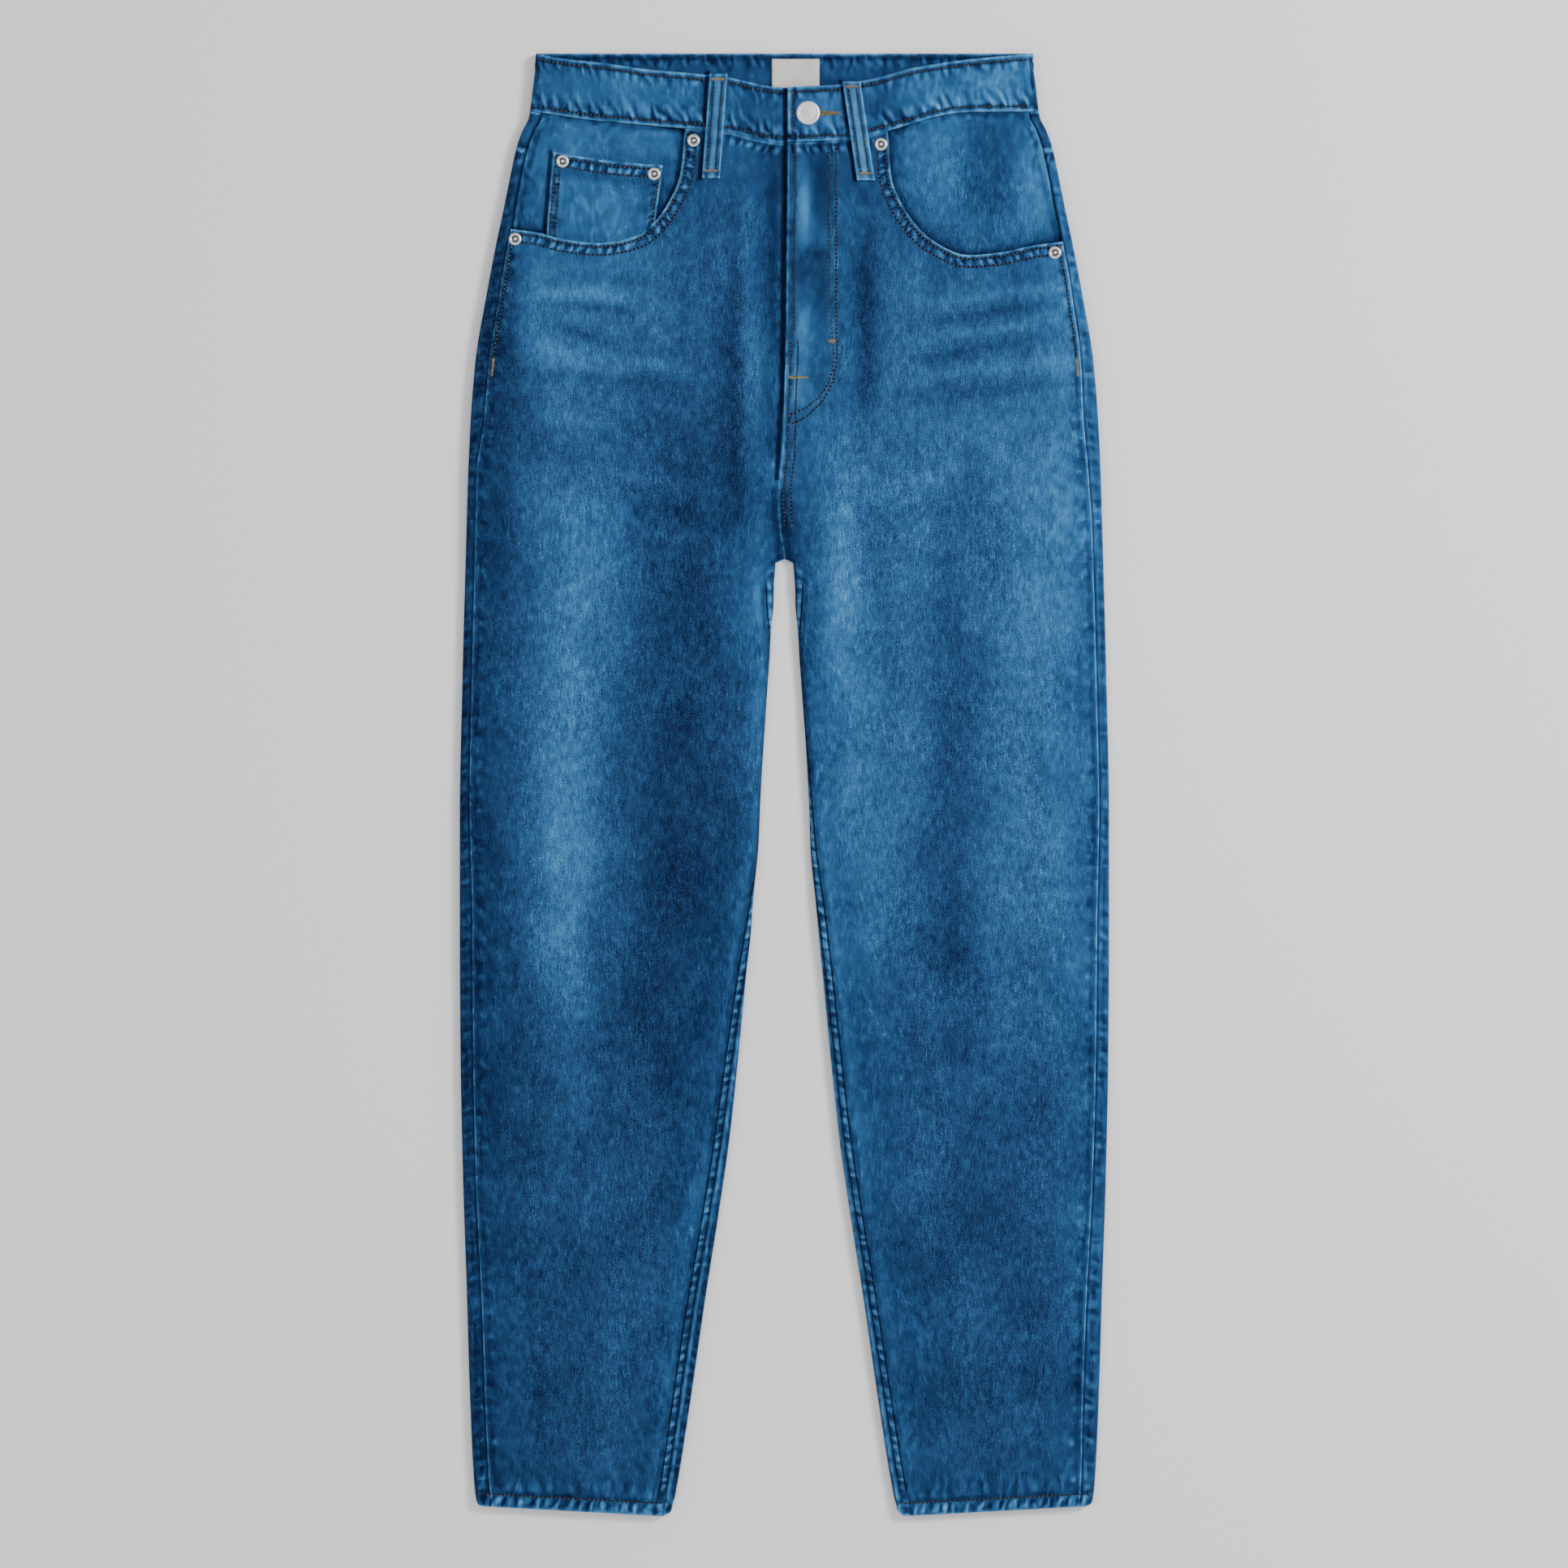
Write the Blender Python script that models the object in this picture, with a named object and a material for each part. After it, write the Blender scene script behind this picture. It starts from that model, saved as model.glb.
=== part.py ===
"""Mom jeans laid out flat, face up, at real size.

Metres, +Z up. The jeans lie on the plane z = 0 with the front facing up, the waist towards +Y and the
wearer's right leg towards -X. The origin is the middle of the footprint, on that plane.

Sizes are in millimetres until a mesh is made. A place on the garment is given by its drop, which is the
distance below the back waist edge, and by its run across the leg. Each leg is a flattened tube: a section at
one drop goes over the top from the outer fold to the inner fold and back underneath, and the panels are
stretches of that section with a seam gap between them.
"""

import bisect
import math

import bmesh
import bpy

MM = 0.001

# Driving sizes of the garment
LENGTH = 1050.0
CLOTH = 1.2
WAISTBAND_CLOTH = 2.2
COIN_CLOTH = 1.0
LABEL_CLOTH = 0.7
LOOP_CLOTH = 1.4
SEAM_GAP = 0.3
LAYER_GAP = 0.3
CROTCH_DROP = 363.0
HEM_OUTER_DROP = 1042.5
HEM_FOLD = 10.0
HEM_RISE = 0.6
FLY_END_DROP = 248.0
UNDERLAP = 22.0
UNDER_LIFT = 1.5
WAISTBAND_HEIGHT = 42.0
SIDES = {"right": -1, "left": 1}

# Half widths of the outline, by drop
OUTER_EDGE = (
    (0, 177.0), (20, 180.0), (46, 183.5), (56, 188.3), (67, 192.2), (90, 197.2), (114, 202.1), (137, 207.0),
    (172, 213.7), (224, 222.2), (282, 226.3), (370, 229.2), (457, 231.5), (545, 233.2), (632, 233.2),
    (719, 232.7), (807, 230.9), (894, 228.0), (952, 226.3), (1010, 223.9), (1036, 222.0), (1050, 219.5),
)
INNER_EDGE = (
    (363, 6.0), (380, 7.4), (400, 8.6), (464, 13.2), (522, 16.8), (574, 19.4), (603, 21.9), (661, 27.4),
    (719, 33.0), (778, 39.3), (836, 47.7), (894, 56.8), (952, 65.2), (1010, 74.0), (1050, 81.0),
)

# Height of the middle of the cloth, by drop: the upper layer, and the under layer that rests on the ground
UPPER_LEVEL = ((0, 6.4), (300, 6.4), (420, 5.0), (1050, 5.0))
UNDER_LEVEL = ((0, 2.1), (300, 2.1), (345, 0.6), (1050, 0.6))
WAISTBAND_UPPER = 6.6
WAISTBAND_UNDER = 2.6

# Side seam: how far it lies in from the outline on the upper side, by drop
SIDE_SEAM_INSET = {
    "right": ((40, 9.0), (90, 7.5), (137, 8.7), (224, 10.0), (262, 9.8), (300, 6.2), (354, 6.7), (540, 7.2),
              (630, 9.3), (780, 9.3), (950, 11.0), (1050, 11.0)),
    "left": ((40, 7.0), (90, 6.8), (137, 7.0), (224, 9.3), (262, 10.6), (300, 9.0), (354, 7.4), (540, 7.2),
             (630, 8.7), (780, 9.3), (950, 11.6), (1050, 9.4)),
}
# Inner leg seam: how far past the inner fold it lies, plus on the upper side and minus underneath
INSEAM_TURN = {
    "right": ((363, 0.0), (374, -0.3), (440, -7.0), (540, -8.0), (614, -4.0), (681, 0.5), (770, 3.9),
              (860, 5.2), (952, 6.2), (1050, 5.2)),
    "left": ((363, 0.0), (374, -0.3), (440, -6.5), (545, -4.0), (640, 0.0), (780, 1.6), (952, 2.8),
             (1050, 3.3)),
}
# Centre front line and the reach of the right front under the fly, by drop
CENTRE_FRONT = (
    (0, 2.4), (66, 2.4), (183, 1.5), (221, 0.9), (253, -0.5), (285, -1.1), (303, -3.0), (318, -4.0),
    (340, -3.0), (363, 0.0), (1050, 0.0),
)
# Front waist edge and waist seam, as drop by distance from the centre
WAIST_EDGE = {
    "right": ((-30, 26.0), (0, 25.0), (13, 23.9), (26, 21.0), (40, 18.0), (70, 14.6), (96, 12.4), (130, 7.6),
              (159, 4.4), (177, 1.0)),
    "left": ((0, 25.0), (36, 23.3), (55, 20.4), (66, 18.4), (90, 11.6), (117, 7.0), (143, 3.8), (177, 1.0)),
}
WAIST_SEAM = {
    "right": ((-30, 62.6), (-13, 63.2), (-3, 63.8), (4, 64.6), (17, 62.3), (40, 56.8), (56, 55.0),
              (83, 53.2), (110, 50.7), (137, 48.3), (160, 45.0), (174, 42.0), (190, 42.0)),
    "left": ((-5, 64.0), (3, 64.0), (42, 62.6), (62, 58.6), (77, 55.0), (96, 49.2), (117, 43.7), (143, 42.0),
             (174, 42.0), (190, 42.0)),
}
# Curved mouth of each front pocket, side seam to waist seam, as distance from the centre and drop
POCKET_MOUTH = {
    "right": ((198, 126.5), (177, 129.0), (159, 133.8), (133, 136.6), (106, 131.4), (84, 109.0), (74, 84.0),
              (71.5, 54.5)),
    "left": ((199, 135.5), (177, 138.6), (157, 142.9), (132, 145.2), (106, 134.5), (85, 110.0), (76, 86.0),
             (74.3, 56.3)),
}
# Lower edge of the pocket facing, hidden under the front, as drop by distance from the centre
FACING_FOOT = {
    "right": ((57, 100), (65, 118), (80, 134), (100, 146), (140, 151), (180, 146), (200, 142)),
    "left": ((57, 104), (65, 122), (80, 140), (100, 153), (140, 160), (180, 154), (200, 151)),
}
# Places across the front where the waistband has a section, as distance from the centre
BAND_OUTS = {
    "right": (-26, -13, -2, 4, 10, 18, 26, 37, 48, 61, 75, 90, 105, 120, 135, 148, 160),
    "left": (2.4, 10, 18, 27, 34, 41, 48, 62, 71, 80, 92, 105, 120, 135, 148, 160),
}
WAIST_SIDE = 180.0
# Yoke seam, as drop by distance from the centre back
YOKE_SEAM = ((0, 112), (60, 104), (130, 88), (190, 70), (215, 67))

# Soft troughs of the upper layer: ends, half width and depth
TROUGHS = (
    # from_x, from_drop, to_x, to_drop, half_width, depth
    (-19.0, 110.0, -22.0, 320.0, 11.0, 1.3),
    (52.0, 180.0, 44.0, 320.0, 11.0, 1.0),
    (-14.0, 372.0, -130.0, 318.0, 17.0, 1.2),
    (16.0, 378.0, 140.0, 330.0, 17.0, 1.2),
    (-40.0, 430.0, -150.0, 470.0, 22.0, 1.3),
    (44.0, 450.0, 165.0, 500.0, 22.0, 1.3),
    (-200.0, 470.0, -196.0, 900.0, 18.0, 1.4),
    (200.0, 470.0, 196.0, 900.0, 18.0, 1.4),
    (-72.0, 600.0, -112.0, 960.0, 20.0, 1.5),
    (74.0, 620.0, 116.0, 960.0, 20.0, 1.5),
    (-110.0, 640.0, -200.0, 690.0, 16.0, 1.0),
    (104.0, 660.0, 196.0, 700.0, 16.0, 1.0),
)
LEG_CROWN = 0.5
EDGE_EASE = 12.0

# Fly: how far the left front rises over it and the right front dips under it
FLY_RISE = 1.1
UNDERLAP_DIP = 1.5
SADDLE_START_DROP = 305.0
SADDLE_FULL_DROP = 352.0
SADDLE_HALF_WIDTH = 13.0

# Rows of sections from the pocket down to the hem
BLEND_DROP = 172.0
BLEND_ROWS = 5
LEG_ROWS = (172, 200, 226, 248, 258, 268, 288, 306, 320, 331, 342, 352, 363, 370, 382, 402, 436, 480, 530,
            585, 640, 672, 700, 765, 830, 895, 960, 1010, 1035, 1038, 1046.25)
HEM_EASE_DROP = 900.0
# Columns across the flat of a front panel: nine start on the pocket mouth and four on the waist seam
FRONT_SHARES = (0.0, 0.095, 0.19, 0.285, 0.38, 0.475, 0.57, 0.665, 0.76, 0.82, 0.88, 0.94, 1.0)


def ease(value):
    """Smooth step from 0 to 1."""
    value = min(max(value, 0.0), 1.0)
    return value * value * (3.0 - 2.0 * value)


def mix(first, second, share):
    return first + (second - first) * share


class SeamLine:
    """Straight pieces through a few places: the true cut edge that neighbouring panels follow."""

    def __init__(self, rows):
        self.rows = sorted(rows)

    def __call__(self, x):
        for (low_x, low_y), (high_x, high_y) in zip(self.rows, self.rows[1:]):
            if x <= high_x:
                return mix(low_y, high_y, max(0.0, (x - low_x) / (high_x - low_x)))
        return self.rows[-1][1]


class Profile:
    """Smooth curve through a short table, with no overshoot between its rows."""

    def __init__(self, rows):
        self.xs = [float(row[0]) for row in rows]
        self.ys = [float(row[1]) for row in rows]
        slopes = [(self.ys[i + 1] - self.ys[i]) / (self.xs[i + 1] - self.xs[i]) for i in range(len(rows) - 1)]
        inner = [0.0 if a * b <= 0 else 2.0 * a * b / (a + b) for a, b in zip(slopes, slopes[1:])]
        self.tangents = [slopes[0], *inner, slopes[-1]]

    def __call__(self, x):
        xs, ys = self.xs, self.ys
        if x <= xs[0]:
            return ys[0]
        if x >= xs[-1]:
            return ys[-1]
        i = bisect.bisect_right(xs, x) - 1
        width = xs[i + 1] - xs[i]
        t = (x - xs[i]) / width
        return (
            ys[i] * (1 + 2 * t) * (1 - t) ** 2
            + ys[i + 1] * t * t * (3 - 2 * t)
            + width * self.tangents[i] * t * (1 - t) ** 2
            + width * self.tangents[i + 1] * t * t * (t - 1)
        )


outer_edge = Profile(OUTER_EDGE)
inner_edge = Profile(INNER_EDGE)
upper_level = Profile(UPPER_LEVEL)
under_level = Profile(UNDER_LEVEL)
centre_front = Profile(CENTRE_FRONT)
yoke_seam = Profile(YOKE_SEAM)
side_seam_inset = {side: Profile(rows) for side, rows in SIDE_SEAM_INSET.items()}
inseam_turn = {side: Profile(rows) for side, rows in INSEAM_TURN.items()}
waist_edge = {side: Profile(rows) for side, rows in WAIST_EDGE.items()}
seam_curve = {side: Profile(rows) for side, rows in WAIST_SEAM.items()}
waist_seam = {
    side: SeamLine([(out, seam_curve[side](out)) for out in outs] + [(WAIST_SIDE, WAISTBAND_HEIGHT)])
    for side, outs in BAND_OUTS.items()
}
facing_foot = {side: Profile(rows) for side, rows in FACING_FOOT.items()}


def trough_depth(x, drop):
    """How far the soft troughs pull the upper layer down at a place."""
    total = 0.0
    for from_x, from_drop, to_x, to_drop, half_width, depth in TROUGHS:
        along_x, along_drop = to_x - from_x, to_drop - from_drop
        share = ((x - from_x) * along_x + (drop - from_drop) * along_drop) / (along_x**2 + along_drop**2)
        near = min(max(share, 0.0), 1.0)
        away = math.hypot(x - from_x - along_x * near, drop - from_drop - along_drop * near)
        total += depth * math.sin(math.pi * mix(0.12, 0.88, near)) * math.exp(-((away / half_width) ** 2))
    return total


def fly_height(side, x, drop):
    """Rise of the left front over the fly, or dip of the right front under it."""
    along = 1.0 - ease((drop - (FLY_END_DROP + 4.0)) / 30.0)
    if side == "left":
        return FLY_RISE * along * (1.0 - ease((x - 24.0) / 20.0))
    return -UNDERLAP_DIP * along * ease((x - centre_front(drop) + 8.0) / 6.5)


def saddle_height(x, drop):
    """The crotch: both fronts sink along the centre front until they meet the back."""
    deep = ease((drop - SADDLE_START_DROP) / (SADDLE_FULL_DROP - SADDLE_START_DROP))
    floor = under_level(drop) + CLOTH + LAYER_GAP + 0.2
    share = 1.0 - ease(abs(x - centre_front(drop)) / SADDLE_HALF_WIDTH)
    return -(upper_level(drop) - floor) * deep * share


def relief(side, x, drop):
    """Height of the upper layer above its level: crown, troughs, fly and crotch."""
    leg = ease((drop - 330.0) / 90.0)
    middle = (outer_edge(drop) + inner_edge(drop)) / 2
    half = (outer_edge(drop) - inner_edge(drop)) / 2
    crown = LEG_CROWN * leg * max(0.0, 1.0 - ((abs(x) - middle) / half) ** 2)
    height = crown - trough_depth(x, drop) + fly_height(side, x, drop)
    if drop <= CROTCH_DROP:
        height += saddle_height(x, drop)
    return height


class Section:
    """One flattened section of a leg at a drop. A run is measured from the outer fold, plus over the top."""

    def __init__(self, side, drop, upper=None, under=None, cloth=CLOTH):
        self.side = side
        self.drop = drop
        self.plain = upper is not None
        self.upper = upper_level(drop) if upper is None else upper
        self.under = under_level(drop) if under is None else under
        self.radius = (self.upper - self.under) / 2
        self.middle = (self.upper + self.under) / 2
        self.quarter = math.pi * self.radius / 2
        self.apex = outer_edge(drop) - cloth / 2
        self.cloth = cloth
        self.has_inner_fold = drop > CROTCH_DROP and not self.plain
        self.inner_apex = inner_edge(drop) + cloth / 2
        self.inner_start = self.quarter + self.apex - self.inner_apex - 2 * self.radius

    def run_at(self, out):
        """Run over the top to a distance from the centre."""
        return self.quarter + self.apex - self.radius - out

    def place(self, run):
        """Distance from the centre and height of the middle of the cloth at a run."""
        length, radius = abs(run), self.radius
        if length <= self.quarter:
            out = self.apex - radius + radius * math.cos(length / radius)
            rise = radius * math.sin(length / radius)
        else:
            out, rise = self.apex - radius - (length - self.quarter), radius
        eased = ease((length - self.quarter) / EDGE_EASE)
        if self.has_inner_fold:
            eased *= ease((self.inner_start - length) / EDGE_EASE)
            turn = (length - self.inner_start) / radius
            if turn > math.pi:
                out, rise = self.inner_apex + radius * (1 + turn - math.pi), -radius
            elif turn > 0:
                out, rise = self.inner_apex + radius * (1 - math.sin(turn)), radius * math.cos(turn)
        height = self.middle + (rise if run >= 0 else -rise)
        if run > 0 and not self.plain:
            height += eased * relief(self.side, SIDES[self.side] * out, self.drop)
        return out, height

    def point(self, run):
        """Middle point of the cloth and its outward normal, in the row frame."""
        out, height = self.place(run)
        step = 0.02
        ahead, behind = self.place(run + step), self.place(run - step)
        normal_out, normal_up = ahead[1] - behind[1], behind[0] - ahead[0]
        size = math.hypot(normal_out, normal_up)
        sign = SIDES[self.side]
        return (
            (sign * out, LENGTH / 2 - self.drop, height),
            (sign * normal_out / size, 0.0, normal_up / size),
        )


def link(name, mesh, material):
    made = bpy.data.objects.new(name, mesh)
    made.data.materials.append(material)
    bpy.context.scene.collection.objects.link(made)
    return made


def two_triangles(shape, first, second, third, fourth):
    shape.faces.new((first, second, third))
    shape.faces.new((first, third, fourth))


def solid_wall(name, rows, cloth, material, raised=None):
    """A closed cloth wall through rows of (point, normal). raised adds to the outer side, as a hem does."""
    shape = bmesh.new()
    outer, inner = [], []
    for i, row in enumerate(rows):
        outer_row, inner_row = [], []
        for j, (point, normal) in enumerate(row):
            extra = raised(i, j) if raised else 0.0
            away, back = cloth / 2 + extra, cloth / 2
            outer_row.append(shape.verts.new([(p + n * away) * MM for p, n in zip(point, normal)]))
            inner_row.append(shape.verts.new([(p - n * back) * MM for p, n in zip(point, normal)]))
        outer.append(outer_row)
        inner.append(inner_row)
    last_row, last_column = len(rows) - 1, len(rows[0]) - 1
    for i in range(last_row):
        for j in range(last_column):
            two_triangles(shape, outer[i][j], outer[i + 1][j], outer[i + 1][j + 1], outer[i][j + 1])
            two_triangles(shape, inner[i + 1][j + 1], inner[i + 1][j], inner[i][j], inner[i][j + 1])
    for i in range(last_row):
        two_triangles(shape, outer[i][0], inner[i][0], inner[i + 1][0], outer[i + 1][0])
        two_triangles(shape, outer[i][-1], outer[i + 1][-1], inner[i + 1][-1], inner[i][-1])
    for j in range(last_column):
        two_triangles(shape, outer[0][j], outer[0][j + 1], inner[0][j + 1], inner[0][j])
        two_triangles(shape, outer[-1][j], inner[-1][j], inner[-1][j + 1], outer[-1][j + 1])
    bmesh.ops.recalc_face_normals(shape, faces=shape.faces[:])
    mesh = bpy.data.meshes.new(name)
    shape.to_mesh(mesh)
    shape.free()
    mesh.shade_smooth()
    mesh.set_sharp_from_angle(angle=math.radians(50))
    return link(name, mesh, material)


def flat_sheet(rows, height_at):
    """Rows of (x, drop) laid on a height function, with upward normals."""
    laid = []
    for row in rows:
        laid.append([((x, LENGTH / 2 - drop, height_at(x, drop)), (0.0, 0.0, 1.0)) for x, drop in row])
    return laid


def finish(name, colour, roughness, metallic=0.0):
    material = bpy.data.materials.new(name)
    material.use_nodes = True
    shader = material.node_tree.nodes["Principled BSDF"]
    shader.inputs["Base Color"].default_value = (*colour, 1.0)
    shader.inputs["Roughness"].default_value = roughness
    shader.inputs["Metallic"].default_value = metallic
    return material


def curve_points(controls, count):
    """Points spread evenly by control along a smooth curve through a few places."""
    spread = []
    across = Profile([(i, place[0]) for i, place in enumerate(controls)])
    down = Profile([(i, place[1]) for i, place in enumerate(controls)])
    for k in range(count):
        at = k * (len(controls) - 1) / (count - 1)
        spread.append((across(at), down(at)))
    return spread


def inner_runs(side, drop, section):
    """Runs of the six columns by the centre front or the inner leg, for a front panel."""
    if drop <= CROTCH_DROP:
        offsets = (14.0, 9.0, 5.5, 3.0, 1.2, SEAM_GAP / 2)
        if side == "right":
            tucked = (14.0, 7.5, 1.5, -6.0, -14.0, -UNDERLAP)
            share = ease((drop - (FLY_END_DROP - 20.0)) / 26.0)
            offsets = [mix(under, plain, share) for under, plain in zip(tucked, offsets)]
        centre = SIDES[side] * centre_front(drop)
        return [section.run_at(centre + offset) for offset in offsets]
    apex_run = section.inner_start + section.quarter
    seam = inseam_turn[side](drop)
    steps = [section.quarter * share for share in (1.0, 0.5, 0.0, -0.5, -1.0)]
    places = [max(step, seam + 0.8 * (5 - k)) for k, step in enumerate(steps)]
    return [apex_run - place for place in [*places, seam + SEAM_GAP / 2]]


def side_run(side, drop, section, gap):
    """Run of the side seam, less or plus half the seam gap."""
    return section.run_at(outer_edge(drop) - side_seam_inset[side](drop)) + gap


def leg_row(side, drop, runs_at):
    """One row of a leg panel. The hem slopes: it is higher at the side seam than at the inner leg."""
    runs = runs_at(drop)
    slope = ease((drop - HEM_EASE_DROP) / (LEG_ROWS[-1] - HEM_EASE_DROP))
    row = []
    for j, run in enumerate(runs):
        share = min(abs(run / runs[-1]), 1.0)
        sloped = drop + slope * (LENGTH - HEM_OUTER_DROP) * (share - 0.5)
        row.append(Section(side, sloped).point(runs_at(sloped)[j]))
    return row


def front_rows(side):
    """Rows of a front panel: the pocket mouth and waist seam on top, the hem below."""
    mouth = curve_points(POCKET_MOUTH[side], 9)
    start = SIDES[side] * centre_front(66.0) + 14.0
    spare = len(FRONT_SHARES) - len(mouth)
    waist_outs = [mix(mouth[-1][0], start, (k + 1) / (spare + 1)) for k in range(spare)]
    top = [(out, drop) for out, drop in mouth]
    top += [(out, waist_seam[side](out) + SEAM_GAP) for out in waist_outs]
    top_section = Section(side, 66.0)
    for run in inner_runs(side, 66.0, top_section):
        out = top_section.apex - top_section.radius - (run - top_section.quarter)
        top.append((out, waist_seam[side](out) + SEAM_GAP))
    flat_columns = len(FRONT_SHARES)

    def runs_at(drop):
        section = Section(side, drop)
        inner = inner_runs(side, drop, section)
        first = side_run(side, drop, section, SEAM_GAP / 2)
        return [*(mix(first, inner[0] - 8.0, share) for share in FRONT_SHARES), *inner]

    below = runs_at(BLEND_DROP)
    below_outs = [Section(side, BLEND_DROP).place(run)[0] for run in below]
    rows = []
    for k in range(BLEND_ROWS):
        share = k / BLEND_ROWS
        row = []
        for j, (top_out, top_drop) in enumerate(top):
            drop = mix(top_drop, BLEND_DROP, share)
            section = Section(side, drop)
            if j == 0:
                run = side_run(side, drop, section, SEAM_GAP / 2)
            elif j >= flat_columns:
                run = inner_runs(side, drop, section)[j - flat_columns]
            else:
                run = section.run_at(mix(top_out, below_outs[j], share))
            row.append(section.point(run))
        rows.append(row)
    return rows + [leg_row(side, drop, runs_at) for drop in LEG_ROWS]


def hem_rise(rows):
    """Upper points of the last rows stand proud, because the hem is turned up."""
    last = len(rows) - 1
    return lambda i, j: HEM_RISE * max(0.0, rows[i][j][1][2]) if i >= last - 1 else 0.0


def back_runs(side, drop, section):
    """Runs of a back panel: from the side seam on top, round the outer fold and underneath."""
    first = side_run(side, drop, section, -SEAM_GAP / 2)
    quarter = section.quarter
    strip = [first, mix(first, quarter, 0.55)] + [quarter * k for k in (1.0, 0.5, 0.0, -0.5, -1.0)]
    if drop <= CROTCH_DROP:
        inner = [-section.run_at(out) for out in (14.0, 10.5, 7.5, 4.8, 2.2, SEAM_GAP / 2)]
    else:
        apex_run = section.inner_start + quarter
        seam = inseam_turn[side](drop)
        steps = [quarter * share for share in (-1.0, -0.5, 0.0, 0.5, 1.0)]
        places = [min(step, seam - 0.8 * (5 - k)) for k, step in enumerate(steps)]
        inner = [-(apex_run + place) for place in [*places, seam - SEAM_GAP / 2]]
    last = inner[0] + 8.0
    flat = [mix(-quarter, last, (k + 1) / 5) for k in range(5)]
    return [*strip, *flat, *inner]


def back_rows(side):
    """Rows of a back panel: the yoke seam on top, the hem below."""
    below = back_runs(side, BLEND_DROP, Section(side, BLEND_DROP))
    below_outs = [Section(side, BLEND_DROP).place(run)[0] for run in below]
    rows = []
    for k in range(BLEND_ROWS - 1):
        share = k / (BLEND_ROWS - 1)
        row = []
        for j, out in enumerate(below_outs):
            drop = mix(yoke_seam(out) + SEAM_GAP, BLEND_DROP, share)
            section = Section(side, drop)
            row.append(section.point(back_runs(side, drop, section)[j]))
        rows.append(row)

    def runs_at(drop):
        return back_runs(side, drop, Section(side, drop))

    return rows + [leg_row(side, drop, runs_at) for drop in LEG_ROWS]


def yoke_rows(side):
    """Rows of a yoke: the waist seam on top, the yoke seam below."""
    top_section, foot_section = Section(side, WAISTBAND_HEIGHT), Section(side, BLEND_DROP)
    top_runs = back_runs(side, WAISTBAND_HEIGHT, top_section)
    foot_runs = back_runs(side, BLEND_DROP, foot_section)
    rows = []
    count = 4
    for k in range(count):
        row = []
        for j, (top_run, foot_run) in enumerate(zip(top_runs, foot_runs)):
            top = WAISTBAND_HEIGHT
            if top_run > 0:
                top = waist_seam[side](top_section.place(top_run)[0])
            drop = mix(top + SEAM_GAP, yoke_seam(foot_section.place(foot_run)[0]), k / (count - 1))
            section = Section(side, drop)
            row.append(section.point(back_runs(side, drop, section)[j]))
        rows.append(row)
    return rows


def waistband_height(side, x):
    """The overlap rises over the underlap, and the underlap dips a little."""
    if side == "left":
        return 2.1 * (1.0 - ease((x - 28.0) / 13.0))
    return -0.4 * ease((x + 6.0) / 6.0)


def waistband_rows():
    """The waistband as one strip: underlap, right front, back, left front, overlap."""
    fold_turns = (1.0, 0.5, 0.0, -0.5, -1.0)
    stations = [("right", "front", out) for out in BAND_OUTS["right"]]
    stations += [("right", "fold", turn) for turn in fold_turns]
    stations += [("right", "back", out) for out in (160, 120, 80, 40)]
    stations += [("left", "back", out) for out in (0, 40, 80, 120, 160)]
    stations += [("left", "fold", -turn) for turn in fold_turns]
    stations += [("left", "front", out) for out in reversed(BAND_OUTS["left"])]
    rows = []
    for side, where, value in stations:
        row = []
        for k in range(5):
            share = k / 4
            if where == "front":
                top, foot = waist_edge[side](value), waist_seam[side](value)
            elif where == "fold":
                top, foot = mix(0.0, 1.0, (value + 1) / 2), WAISTBAND_HEIGHT
            else:
                top, foot = 0.0, WAISTBAND_HEIGHT
            drop = mix(top, foot, share)
            section = Section(side, drop, WAISTBAND_UPPER, WAISTBAND_UNDER, WAISTBAND_CLOTH)
            if where == "fold":
                run = section.quarter * value
            elif where == "front":
                run = section.run_at(value)
            else:
                run = -section.run_at(value)
            (x, y, height), normal = section.point(run)
            if where == "front":
                height += waistband_height(side, SIDES[side] * value)
            row.append(((x, y, height), normal))
        rows.append(row)
    return rows


def cutter(name, mesh):
    made = bpy.data.objects.new(name, mesh)
    made.hide_render = True
    made.display_type = "WIRE"
    bpy.context.scene.collection.objects.link(made)
    return made


# Tack button and its buttonhole
BUTTON_X = 17.0
BUTTON_DROP = 43.7
BUTTON_RADIUS = 8.5
SHANK_RADIUS = 2.2
EYE_RADIUS = 3.2
SLIT_END_X = 37.0
SLIT_WIDTH = 1.0


def buttonhole_cutter():
    """A keyhole: a round eye at the shank and a narrow slit."""
    shape = bmesh.new()
    outline = []
    half_slit = math.asin(SLIT_WIDTH / 2 / EYE_RADIUS)
    for k in range(17):
        angle = mix(half_slit, 2 * math.pi - half_slit, k / 16)
        outline.append((BUTTON_X + EYE_RADIUS * math.cos(angle), EYE_RADIUS * math.sin(angle)))
    outline += [(SLIT_END_X, -SLIT_WIDTH / 2), (SLIT_END_X, SLIT_WIDTH / 2)]
    low, high = 7.45, 12.0
    y = LENGTH / 2 - BUTTON_DROP
    foot = shape.faces.new([shape.verts.new((px * MM, (y + py) * MM, low * MM)) for px, py in outline])
    raised = bmesh.ops.extrude_face_region(shape, geom=[foot])
    lifted = [item for item in raised["geom"] if isinstance(item, bmesh.types.BMVert)]
    bmesh.ops.translate(shape, verts=lifted, vec=(0, 0, (high - low) * MM))
    bmesh.ops.recalc_face_normals(shape, faces=shape.faces[:])
    mesh = bpy.data.meshes.new("buttonhole_cutter")
    shape.to_mesh(mesh)
    shape.free()
    return cutter("buttonhole_cutter", mesh)


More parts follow.
